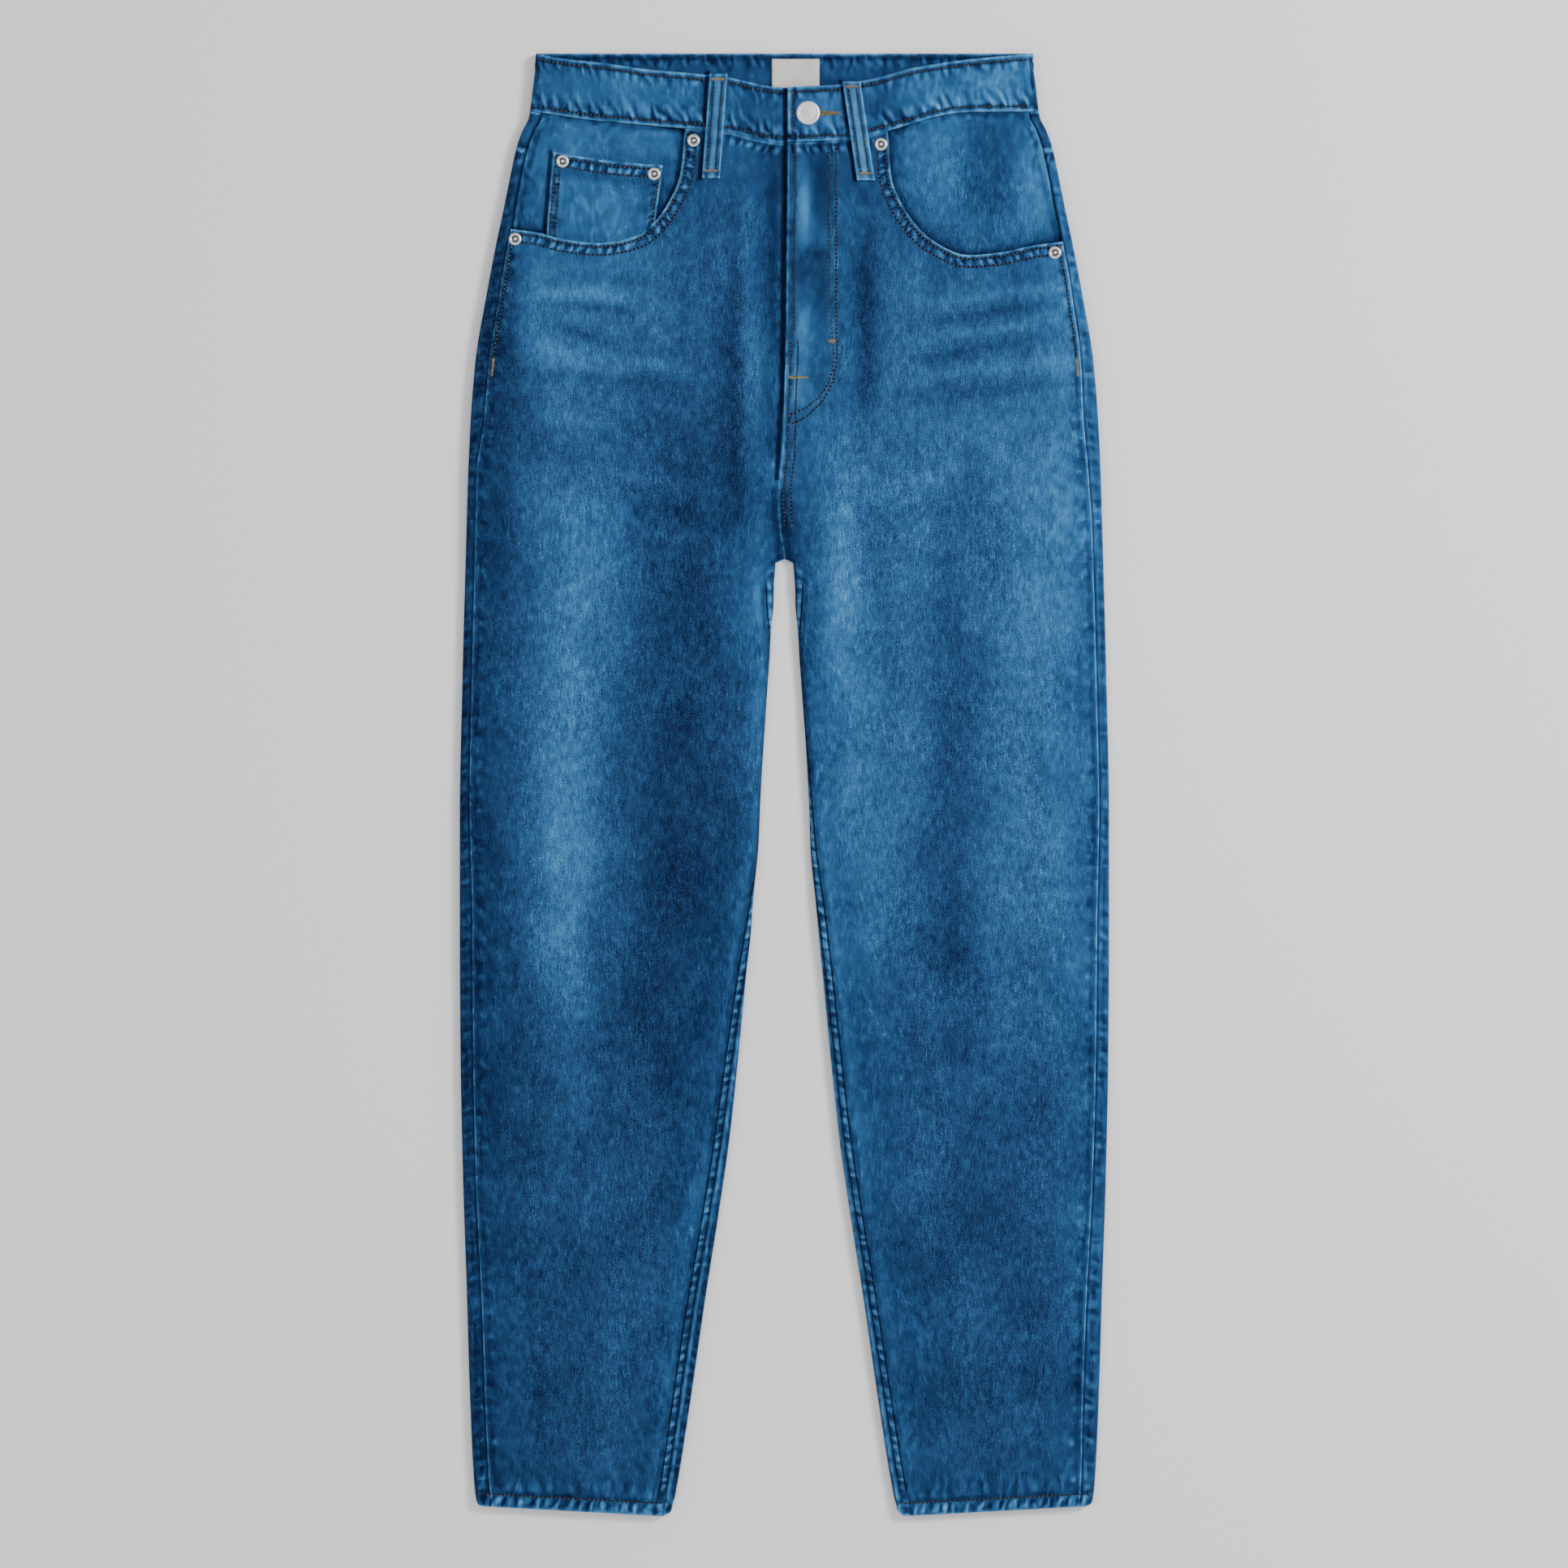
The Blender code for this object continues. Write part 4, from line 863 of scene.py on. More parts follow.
@dataclass(frozen=True)
class DenimFinish:
    """Washed denim on one kind of piece."""

    name: str
    seams: tuple[SeamLook, ...] = ()
    # Painted shadows: soft dark lines added to the tone beside raised parts.
    lines: tuple[ShadeLine, ...] = ()
    ropes: tuple[RopeLook, ...] = ()
    roughness: float = 0.86
    turn: float = 0.0

    def material(self) -> bpy.types.Material:
        """Build the material: the piece's own tone, weave, seams and painted shadow lines, then the denim
        ramp.
        """
        made, kit, shader, place = start_material(self.name, self.turn)
        weave = kit.shared("twill_weave")
        kit.feed(weave.inputs["Vector"], place)
        tone = kit.math("ADD", kit.mark("tone"), weave.outputs["Tone"])
        height = kit.math("MULTIPLY", weave.outputs["Height"], 0.06)
        for look in self.seams:
            wear = kit.shared("seam_wear")
            kit.feed(wear.inputs["Vector"], place)
            kit.feed(wear.inputs["Distance"], kit.mark(look.edge))
            kit.fill(wear, Crest=look.crest, Width=look.width, Groove=look.groove, Groove_At=look.groove_at,
                     Pucker=look.pucker, Reach=look.reach)
            tone = kit.math("ADD", tone, wear.outputs["Tone"])
            height = kit.math("ADD", height, kit.math("MULTIPLY", wear.outputs["Height"], 0.10))
        axes = kit.add("ShaderNodeSeparateXYZ")
        kit.feed(axes.inputs[0], place)
        for look in self.ropes:
            rope = kit.shared("seam_rope")
            along = axes.outputs[look.along.upper()] if look.along in "xy" else kit.mark(look.along)
            kit.feed(rope.inputs["Along"], along)
            kit.feed(rope.inputs["Distance"], kit.mark(look.edge))
            kit.fill(rope, Pitch=look.pitch, Slant=look.slant, Centre=look.centre, Half=look.half)
            tone = kit.math("ADD", tone, kit.math("MULTIPLY", rope.outputs["Tone"], look.amount))
            height = kit.math("ADD", height, kit.math("MULTIPLY", rope.outputs["Tone"], look.amount * 0.9))
        # Painted shadow lines: each adds its amount to the tone along a soft line.
        for line in self.lines:
            soft = kit.shared("soft_line")
            kit.feed(soft.inputs["Vector"], place)
            kit.fill(soft, From_X=line.start[0], From_Y=LENGTH / 2 - line.start[1], To_X=line.end[0],
                     To_Y=LENGTH / 2 - line.end[1], Half_Width=line.half_width)
            tone = kit.math("ADD", tone, kit.math("MULTIPLY", soft.outputs["Mask"], line.amount))
        ramp = kit.add("ShaderNodeValToRGB")
        kit.feed(ramp.inputs["Fac"], tone)
        stops = ramp.color_ramp.elements
        while len(stops) < len(DENIM_RAMP):
            stops.new(0.5)
        for stop, (at, colour) in zip(stops, DENIM_RAMP):
            stop.position, stop.color = at, (*colour, 1.0)
        kit.feed(shader.inputs["Base Color"], ramp.outputs["Color"])
        kit.fill(shader, Roughness=self.roughness, Specular_IOR_Level=0.08)
        kit.bump(shader, height, 0.8, 0.001)
        return made


@dataclass(frozen=True)
class ThreadFinish:
    """Twisted cotton thread."""

    thread: Thread

    def material(self) -> bpy.types.Material:
        """Build the thread's material, with uneven dye and a fine twist."""
        made, kit, shader, place = start_material(f"thread_{self.thread.name.lower()}")
        uneven = kit.noise(kit.stretch(place, (0.5, 0.5, 0.5)), 1.0, 2.0, 0.5)
        worn, fresh = (tuple(min(1.0, c * share) for c in self.thread.value) for share in (0.62, 1.35))
        kit.feed(shader.inputs["Base Color"], kit.blend(kit.band(uneven, 0.35, 0.65), worn, fresh))
        kit.fill(shader, Roughness=0.8, Specular_IOR_Level=0.06)
        kit.bump(shader, kit.noise(kit.stretch(place, (3.0, 3.0, 3.0), 30.0), 1.0, 1.0, 0.5), 0.5, 0.0002)
        return made


@dataclass(frozen=True)
class MetalFinish:
    """Worn plated metal, with darker hollows and fine scratches."""

    name: str
    colour: tuple[float, float, float]
    hollow: tuple[float, float, float]
    roughness: float

    def material(self) -> bpy.types.Material:
        """Build the metal: the piece's hollow attribute darkens it, and noise breaks its gloss."""
        made, kit, shader, place = start_material(self.name)
        spots = kit.noise(kit.stretch(place, (0.9, 0.9, 0.9)), 1.0, 4.0, 0.7)
        scratch = kit.noise(kit.stretch(place, (0.5, 6.0, 2.0), 24.0), 1.0, 2.0, 0.6)
        tarnish = kit.math("MULTIPLY", kit.band(spots, 0.48, 0.72), 0.25)
        factor = kit.math("ADD", kit.mark("hollow"), tarnish, clamp=True)
        kit.feed(shader.inputs["Base Color"], kit.blend(factor, self.colour, self.hollow))
        shader.inputs["Metallic"].default_value = 1.0
        kit.feed(shader.inputs["Roughness"],
                 kit.band(scratch, 0.3, 0.7, self.roughness - 0.08, self.roughness + 0.12))
        kit.bump(shader, spots, 0.25, 0.0002)
        return made


@dataclass(frozen=True)
class WovenFinish:
    """Smooth woven tape or label."""

    name: str
    colour: tuple[float, float, float]
    shade: tuple[float, float, float]
    pitch: float = 0.5

    def material(self) -> bpy.types.Material:
        """Build the tape: fine cross ribs and faint soiling."""
        made, kit, shader, place = start_material(self.name)
        wave = kit.add("ShaderNodeTexWave", wave_type="BANDS", bands_direction="Y", wave_profile="SIN")
        kit.feed(wave.inputs["Vector"], place)
        kit.fill(wave, Scale=0.314 / self.pitch, Distortion=0.6)
        soil = kit.noise(kit.stretch(place, (0.12, 0.12, 0.12)), 1.0, 3.0, 0.6)
        factor = kit.math("ADD", kit.math("MULTIPLY", wave.outputs["Fac"], 0.35),
                          kit.math("MULTIPLY", kit.band(soil, 0.4, 0.75), 0.4))
        kit.feed(shader.inputs["Base Color"], kit.blend(factor, self.colour, self.shade))
        shader.inputs["Roughness"].default_value = 0.65
        kit.bump(shader, wave.outputs["Fac"], 0.4, 0.0002)
        return made


def as_object(shape: bmesh.types.BMesh, name: str) -> bpy.types.Object:
    """Turn a finished shape into an object of the scene."""
    mesh = bpy.data.meshes.new(name)
    shape.to_mesh(mesh)
    shape.free()
    made = bpy.data.objects.new(name, mesh)
    bpy.context.scene.collection.objects.link(made)
    return made


def cloth_shell(name: str, points: Array, thickness: float, marks: dict[str, Array],
                material: bpy.types.Material) -> bpy.types.Object:
    """Make a cloth piece: a grid laid on points, given its thickness both ways by a Solidify.

    Args:
        name: Piece name.
        points: Rows by columns of points of the middle of the cloth, in millimetres.
        thickness: Cloth thickness in millimetres.
        marks: Float attributes by name, rows by columns.
        material: Finish.

    Returns:
        The new object.
    """
    rows, columns = points.shape[:2]
    shape = bmesh.new()
    bmesh.ops.create_grid(shape, x_segments=columns - 1, y_segments=rows - 1, size=1.0)
    made = as_object(shape, name)
    mesh = made.data
    flat = np.empty(len(mesh.vertices) * 3)
    mesh.vertices.foreach_get("co", flat)
    flat = flat.reshape(-1, 3)
    column = np.rint((flat[:, 0] + 1) / 2 * (columns - 1)).astype(int)
    row = np.rint((1 - flat[:, 1]) / 2 * (rows - 1)).astype(int)
    mesh.vertices.foreach_set("co", (points[row, column] * MM).ravel())
    for key, values in marks.items():
        layer = mesh.attributes.new(key, "FLOAT", "POINT")
        layer.data.foreach_set("value", np.asarray(values, float)[row, column])
    mesh.update()
    across, down = points[1, 2] - points[1, 1], points[2, 1] - points[1, 1]
    if np.cross(across, down)[2] > 0:
        mesh.flip_normals()
    wall = made.modifiers.new("cloth", "SOLIDIFY")
    wall.thickness = thickness * MM
    wall.offset = 0.0
    mesh.shade_smooth()
    made.data.materials.append(material)
    return made


def show(piece: bpy.types.Object, slot: str, *nodes: str) -> bpy.types.Object:
    """Let a piece ride on the garment and stand for its solids."""
    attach(piece, ROOT)
    if nodes:
        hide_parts(*nodes)
    log.info("%s: %d vertices", piece.name, len(piece.data.vertices))
    return piece


@dataclass
class Front:
    """One front panel, from the pocket mouth and waist seam to the hem."""

    side: Side
    finish: bpy.types.Material
    top_rows: int = 46
    leg_rows: int = 336
    tube: LegTube = field(init=False)
    index: Array = field(init=False)

    def __post_init__(self) -> None:
        """Set the tube and the fine columns, closest by the seams."""
        self.tube = LegTube(self.side)
        self.index = spread((0.0, 0.6, 1.0, 12.0, 13.0, 18.0), (10, 4, 50, 4, 20))

    def top_edge(self) -> Array:
        """Distance from the centre and drop of each fine column at the top edge."""
        mouth, start = POCKET_MOUTH[self.side], self.side.value * 2.4 + 14.0
        index = self.index
        curve = smooth_path(mouth, 800)
        at = np.linspace(0, 8, 800)
        out, drop = np.interp(index, at, curve[:, 0]), np.interp(index, at, curve[:, 1])
        waist_out = mix(mouth[-1][0], start, np.clip((index - 8) / 5, 0, 1))
        ladder = self.tube.front_ladder(np.full((1, len(index)), 66.0))
        tucked = self.tube.out_at(between(ladder, np.clip(index - 13, 0, 5))[0], 66.0)
        waist_out = np.where(index > 13, tucked, waist_out)
        late = index > 8
        out = np.where(late, waist_out, out)
        drop = np.where(late, WAIST_SEAM[self.side](waist_out) + SEAM_GAP, drop)
        return np.stack((out, drop), axis=-1)

    def runs(self, drop: Array) -> Array:
        """Runs of the fine columns, where drop has rows by fine columns."""
        inner = self.tube.front_ladder(drop)
        first = self.tube.side_run(drop) + SEAM_GAP / 2
        flat = [mix(first, inner[0] - 8.0, share) for share in FRONT_SHARES]
        return between(np.concatenate((np.stack(flat), inner)), self.index)

    def chart(self) -> tuple[Array, Array]:
        """Runs and drops of the whole panel, rows by fine columns."""
        top = self.top_edge()
        columns = len(self.index)
        below = self.tube.out_at(self.runs(np.full((1, columns), BLEND_DROP))[0], BLEND_DROP)
        share = np.linspace(0, 1, self.top_rows, endpoint=False)[:, None]
        drop = mix(top[:, 1], BLEND_DROP, share)
        run = self.tube.run_at(mix(top[:, 0], below, share), drop)
        second = int(np.searchsorted(self.index, 1.0))
        seam = self.tube.side_run(drop) + SEAM_GAP / 2
        early = self.index < 1.0
        run = np.where(early, mix(seam, run[:, second:second + 1], self.index), run)
        ladder = between(self.tube.front_ladder(drop), np.clip(self.index - 13, 0, 5))
        run = np.where(self.index >= 13, ladder, run)
        level = np.linspace(BLEND_DROP, HEM_DROP, self.leg_rows)[:, None] * np.ones(columns)
        plain = self.runs(level)
        leg_drop = hem_sloped(level, np.abs(plain / plain[:, -1:]))
        return np.concatenate((run, self.runs(leg_drop))), np.concatenate((drop, leg_drop))

    def build(self) -> bpy.types.Object:
        """Build the panel with its creases, seam ridges and roped hem."""
        run, drop = self.chart()
        points, facing = self.tube.place(run, drop)
        x = points[..., 0]
        upright = np.clip(facing, 0, 1) ** 2
        side = run - self.tube.side_run(drop)
        inner = self.tube.inseam_run(drop) - run
        centre = self.side.value * (x - CENTRE_FRONT(drop))
        inner = np.where(drop < CROTCH_DROP, centre, inner)
        hem = hem_sloped(np.full_like(drop, HEM_DROP), np.abs(run / run[:, -1:])) - drop
        top = np.full_like(drop, 60.0)
        edge = self.top_edge() * (self.side.value, 1)
        rows = self.top_rows + 24
        arc = np.zeros_like(drop)
        top[:rows], arc[:rows] = path_distance(np.stack((x[:rows], drop[:rows]), -1), edge)
        detail = sum(crease.at(x, drop) for crease in FRONT_CREASES)
        detail = detail * ease((side - 2) / 10) * ease((inner - 1) / 10)
        detail += self.seam_relief(side, drop, 1.0) * ease((hem - 6) / 14)
        leg = ease((drop - CROTCH_DROP) / 20)
        detail += leg * self.seam_relief(inner, drop, 0.8) * ease((hem - 6) / 14)
        mouth = (self.index < 8.6)[None, :] * np.ones_like(drop)
        detail += 0.35 * hump(top, 1.4, 1.6) - 0.22 * hump(top, 5.6, 2.0) * mouth
        detail += self.hem_relief(x, hem)
        points[..., 2] += detail * upright
        round_corners(points, hem)
        tone = self.tone(x, drop, facing)
        # Painted shade along the grooves of the two stitch rows by the pocket mouth.
        tone -= 0.16 * mouth * (hump(top, 2.7, 0.9) + hump(top, 8.4, 0.9))
        ridge = 0.26 * hump(inner, 5.0, 1.1) - 0.20 * hump(inner, 8.8, 1.4)
        tone += leg * (ridge + 0.12 * hump(inner, 10.0, 8.0))
        marks = {"tone": tone, "to_side": side, "to_inner": inner, "to_top": top, "to_hem": hem, "arc": arc,
                 "to_leg": np.where(drop < CROTCH_DROP + 6.0, 60.0, inner)}
        piece = cloth_shell(f"front_panel_{self.side.word}", points, CLOTH, marks, self.finish)
        return show(piece, "denim", f"front_{self.side.word}")

    def seam_relief(self, distance: Array, along: Array, strength: float) -> Array:
        """Felled ridge beside a seam, with its puckers."""
        wave = ripple(along, 8.6, 1.3 + self.side.value)
        ridge = 0.34 * hump(distance, 1.6, 1.5) - 0.22 * hump(distance, 4.8, 1.7)
        ridge = ridge + 0.16 * hump(distance, 8.6, 2.6)
        return strength * (ridge + 0.17 * wave * hump(distance, 4.0, 6.0))

    def hem_relief(self, x: Array, hem: Array) -> Array:
        """Turned-up hem: a raised band with slanting puckers."""
        band = ease((HEM_BAND + 1.2 - hem) / 2.0)
        rope = ripple(x + hem * 0.9, 7.4, 2.2 + self.side.value)
        above = 0.22 * rope * hump(hem, HEM_BAND + 4.0, 5.0)
        return band * (0.55 + 0.38 * rope * hump(hem, 5.0, 4.5)) + above

    def tone(self, x: Array, drop: Array, facing: Array) -> Array:
        """Wash of the panel, with painted shade where it turns under and in the crotch."""
        tone = wash(x, drop)
        # Painted shade where the cloth turns under at the folds.
        tone = tone - 0.12 * ease((0.4 - facing) / 0.8)
        centre = x - CENTRE_FRONT(drop)
        # Painted shade in the sunken crotch below the fly.
        dark = hump(centre, 0.0, 8.0) * ease((drop - 300) / 30) * (drop < CROTCH_DROP + 12)
        return tone - 0.30 * dark


@dataclass
class Back:
    """One back panel, from the yoke seam to the hem, with its strip on top beside the side seam."""

    side: Side
    finish: bpy.types.Material
    top_rows: int = 30
    leg_rows: int = 290
    tube: LegTube = field(init=False)
    index: Array = field(init=False)

    def __post_init__(self) -> None:
        """Set the tube and the fine columns, closest by the seams and folds."""
        self.tube = LegTube(self.side)
        self.index = spread((0.0, 1.0, 2.0, 6.0, 12.0, 17.0), (7, 5, 12, 30, 18))

    def runs(self, drop: Array) -> Array:
        """Runs of the fine columns, where drop has rows by fine columns."""
        return between(self.tube.back_ladder(drop), self.index)

    def outs(self) -> Array:
        """Distance from the centre of each fine column where the leg rows begin."""
        drop = np.full((1, len(self.index)), BLEND_DROP)
        points, _ = self.tube.place(self.runs(drop), drop)
        return np.abs(points[0, :, 0])

    def chart(self) -> tuple[Array, Array]:
        """Runs and drops of the whole panel."""
        share = np.linspace(0, 1, self.top_rows, endpoint=False)[:, None]
        drop = mix(YOKE_SEAM(self.outs()) + SEAM_GAP, BLEND_DROP, share)
        level = np.linspace(BLEND_DROP, HEM_DROP, self.leg_rows)[:, None] * np.ones(len(self.index))
        plain = self.runs(level)
        leg_drop = hem_sloped(level, np.abs(plain / plain[:, -1:]))
        drop = np.concatenate((drop, leg_drop))
        return self.runs(drop), drop

    def build(self) -> bpy.types.Object:
        """Build the panel with its lifted creases and seam ridges."""
        run, drop = self.chart()
        points, facing = self.tube.place(run, drop)
        x = points[..., 0]
        side = self.tube.side_run(drop) - run
        seam = -(self.tube.sizes(drop)["inner_start"] + self.tube.sizes(drop)["quarter"]
                 + INSEAM[self.side](drop))
        inner = np.where(drop < CROTCH_DROP, np.abs(x), run - seam)
        hem = hem_sloped(np.full_like(drop, HEM_DROP), np.abs(run / run[:, -1:])) - drop
        top = drop - YOKE_SEAM(np.abs(x))
        above = np.clip(facing, 0, 1) ** 2
        wave = ripple(drop, 7.2, 4.4 + self.side.value)
        strip = 0.30 * hump(side, 1.5, 1.4) + 0.14 * wave * hump(side, 4.0, 4.0)
        rope = ripple(x + hem * 0.9, 7.4, 5.1)
        strip = strip * ease((hem - 6) / 14) + ease((HEM_BAND + 1.2 - hem) / 2.0) * (0.5 + 0.2 * rope)
        lift = sum(crease.at(x, drop) for crease in BACK_CREASES)
        points[..., 2] += above * strip + np.clip(-facing, 0, 1) ** 2 * lift
        round_corners(points, hem)
        tone = self.tone(x, drop, facing)
        marks = {"tone": tone, "to_side": side, "to_inner": inner, "to_top": top, "to_hem": hem,
                 "to_leg": np.where(drop < CROTCH_DROP + 6.0, 60.0, inner)}
        piece = cloth_shell(f"back_panel_{self.side.word}", points, CLOTH, marks, self.finish)
        return show(piece, "denim_back", f"back_{self.side.word}")

    def tone(self, x: Array, drop: Array, facing: Array) -> Array:
        """Wash of the panel: a faded seat and thigh underneath, and a darker strip on top."""
        under = ground_tone(drop) - 0.04
        under = under + 0.24 * hump(np.abs(x), 105, 70) * hump(drop, 320, 210)
        under = under + 0.10 * hump(np.abs(x), 150, 50) * hump(drop, 620, 200)
        strip = wash(x, drop) + (0.02 if self.side is Side.LEFT else -0.05)
        return mix(under, strip, ease((facing + 0.3) / 0.9))


@dataclass
class Yoke:
    """One back yoke between the waistband and the back panel."""

    side: Side
    finish: bpy.types.Material
    rows: int = 26

    def build(self) -> bpy.types.Object:
        """Build the yoke round the fold at its side."""
        back = Back(self.side, self.finish)
        tube = back.tube
        top_drop = np.full((1, len(back.index)), BAND_HEIGHT)
        top_run = back.runs(top_drop)
        top_out = np.abs(tube.place(top_run, top_drop)[0][0, :, 0])
        top = np.where(top_run[0] > 0, WAIST_SEAM[self.side](top_out), BAND_HEIGHT) + SEAM_GAP
        foot = YOKE_SEAM(back.outs())
        drop = mix(top, foot, np.linspace(0, 1, self.rows)[:, None])
        run = back.runs(drop)
        points, facing = tube.place(run, drop)
        x = points[..., 0]
        side = tube.side_run(drop) - run
        foot_distance = YOKE_SEAM(np.abs(x)) - drop
        tone = mix(0.40 + 0.0 * x, wash(x, drop) - 0.04, ease((facing + 0.3) / 0.9))
        tone = tone + 0.12 * hump(np.abs(x), 80, 70)
        marks = {"tone": tone, "to_side": side, "to_inner": np.abs(x), "to_top": drop - top,
                 "to_hem": np.maximum(foot_distance, 0.1)}
        piece = cloth_shell(f"yoke_panel_{self.side.word}", points, CLOTH, marks, self.finish)
        return show(piece, "denim_back", f"yoke_{self.side.word}")


@dataclass
class Waistband:
    """The waistband as one strip: underlap, right front, back, left front and overlap."""

    finish: bpy.types.Material
    eye_radius: float = 3.2
    slit_end: float = 37.0
    slit_width: float = 1.0
    cut_from: float = 7.42

    @staticmethod
    def rise(side: Side, x: Array) -> Array:
        """Rise of the overlap over the underlap, and the underlap's dip."""
        if side is Side.LEFT:
            return OVERLAP_RISE * (1.0 - ease((x - 28.0) / 13.0))
        return -0.4 * ease((x + 6.0) / 6.0)

    @staticmethod
    def point(side: Side, where: str, value: float, share: Array) -> Array:
        """Points down one station of the band."""
        edge, seam = WAIST_EDGE[side], WAIST_SEAM[side]
        if where == "front":
            drop = mix(float(edge(value)), float(seam(value)), share)
        elif where == "fold":
            drop = mix((value + 1) / 2, BAND_HEIGHT, share)
        else:
            drop = mix(0.0, BAND_HEIGHT, share)
        radius, middle = (BAND_UPPER - BAND_UNDER) / 2, (BAND_UPPER + BAND_UNDER) / 2
        apex = OUTER_EDGE(drop) - BAND_CLOTH / 2
        if where == "fold":
            angle = math.pi / 2 * value
            out = apex - radius + radius * math.cos(angle)
            height = middle + radius * math.sin(angle) + 0 * drop
        else:
            out = value + 0 * drop
            height = middle + (radius if where == "front" else -radius) + 0 * drop
        x = side.value * out
        if where == "front":
            height = height + Waistband.rise(side, side.value * value)
        return np.stack((x, LENGTH / 2 - drop, height), axis=-1)

    def stations(self) -> list[tuple[Side, str, float]]:
        """Stations of the band in order, close together."""
        right = np.concatenate((np.arange(-26, 160, 2.0), [160.0], np.arange(163, 180, 3.0)))
        left = np.concatenate((np.arange(2.4, 60, 1.6), np.arange(60, 160, 2.0), [160.0],
                               np.arange(163, 180, 3.0)))
        turns = np.linspace(1, -1, 11)
        made = [(Side.RIGHT, "front", float(v)) for v in right]
        made += [(Side.RIGHT, "fold", float(t)) for t in turns]
        made += [(Side.RIGHT, "back", float(v)) for v in np.arange(178, 0, -3.0)]
        made += [(Side.LEFT, "back", float(v)) for v in np.arange(1, 179, 3.0)]
        made += [(Side.LEFT, "fold", float(t)) for t in turns[::-1]]
        made += [(Side.LEFT, "front", float(v)) for v in left[::-1]]
        return made

    def build(self) -> bpy.types.Object:
        """Build the band, its folded edges and the buttonhole."""
        share = np.linspace(0, 1, 22)
        columns = [self.point(*station, share) for station in self.stations()]
        points = np.stack(columns, axis=1)
        x, drop = points[..., 0], LENGTH / 2 - points[..., 1]
        down = drop - drop[:1]
        up = drop[-1:] - drop
        names = np.array([where for _, where, _ in self.stations()])
        front = (names == "front")[None, :]
        end = np.where(names == "front", np.abs(x[10] - 2.4), 60.0)
        end = np.where(np.arange(len(names)) < len(names) // 2, 60.0, end)[None, :] + 0 * drop
        along = np.arange(len(names))[None, :] * 2.0 + 0 * drop
        detail = 0.20 * hump(down, 1.2, 1.4) + 0.20 * hump(up, 1.2, 1.4) - 0.20 * hump(down, 3.7, 1.0)
        low = ripple(along + 0.5 * up, 9.2, 0.7) * hump(up, 8.0, 7.0)
        high = ripple(along - 0.4 * down, 8.0, 2.9) * hump(down, 6.0, 4.0)
        detail += -0.20 * hump(up, 3.7, 1.0) + 0.20 * low + 0.14 * high
        detail += 0.22 * hump(end, 1.6, 1.6)
        points[..., 2] += detail * front
        worn = 0.40 + sum(fade.at(x, drop) for fade in BAND_FADES)
        # Painted shade along the grooves of the stitch rows by both edges of the front band.
        worn = worn - 0.14 * (hump(down, 3.7, 1.0) + hump(up, 3.7, 1.0))
        tone = np.where(front, worn, 0.27 - 0.05 * hump(down, 2, 5))
        marks = {"tone": tone, "to_top": down, "to_foot": up, "to_end": end}
        piece = cloth_shell("waistband_strip", points, BAND_CLOTH, marks, self.finish)
        self.cut_buttonhole(piece)
        return show(piece, "denim", "waistband")

    def cut_buttonhole(self, piece: bpy.types.Object) -> None:
        """Cut the keyhole through the overlap only, then keep the result as the piece's mesh."""
        shape = bmesh.new()
        half = math.asin(self.slit_width / 2 / self.eye_radius)
        angles = np.linspace(half, 2 * math.pi - half, 25)
        rim = [(BUTTON_X + self.eye_radius * math.cos(a), self.eye_radius * math.sin(a)) for a in angles]
        rim += [(self.slit_end, -self.slit_width / 2), (self.slit_end, self.slit_width / 2)]
        y = LENGTH / 2 - BUTTON_DROP
        low = self.cut_from * MM
        foot = shape.faces.new([shape.verts.new((px * MM, (y + py) * MM, low)) for px, py in rim])
        raised = bmesh.ops.extrude_face_region(shape, geom=[foot])
        lifted = [item for item in raised["geom"] if isinstance(item, bmesh.types.BMVert)]
        bmesh.ops.translate(shape, verts=lifted, vec=(0, 0, 5 * MM))
        bmesh.ops.recalc_face_normals(shape, faces=shape.faces[:])
        cutter = as_object(shape, "buttonhole_cutter")
        hole = piece.modifiers.new("buttonhole", "BOOLEAN")
        hole.operation, hole.solver, hole.object = "DIFFERENCE", "EXACT", cutter
        graph = bpy.context.evaluated_depsgraph_get()
        finished = bpy.data.meshes.new_from_object(piece.evaluated_get(graph))
        piece.modifiers.clear()
        piece.data = finished
        finished.shade_smooth()
        bpy.data.objects.remove(cutter, do_unlink=True)


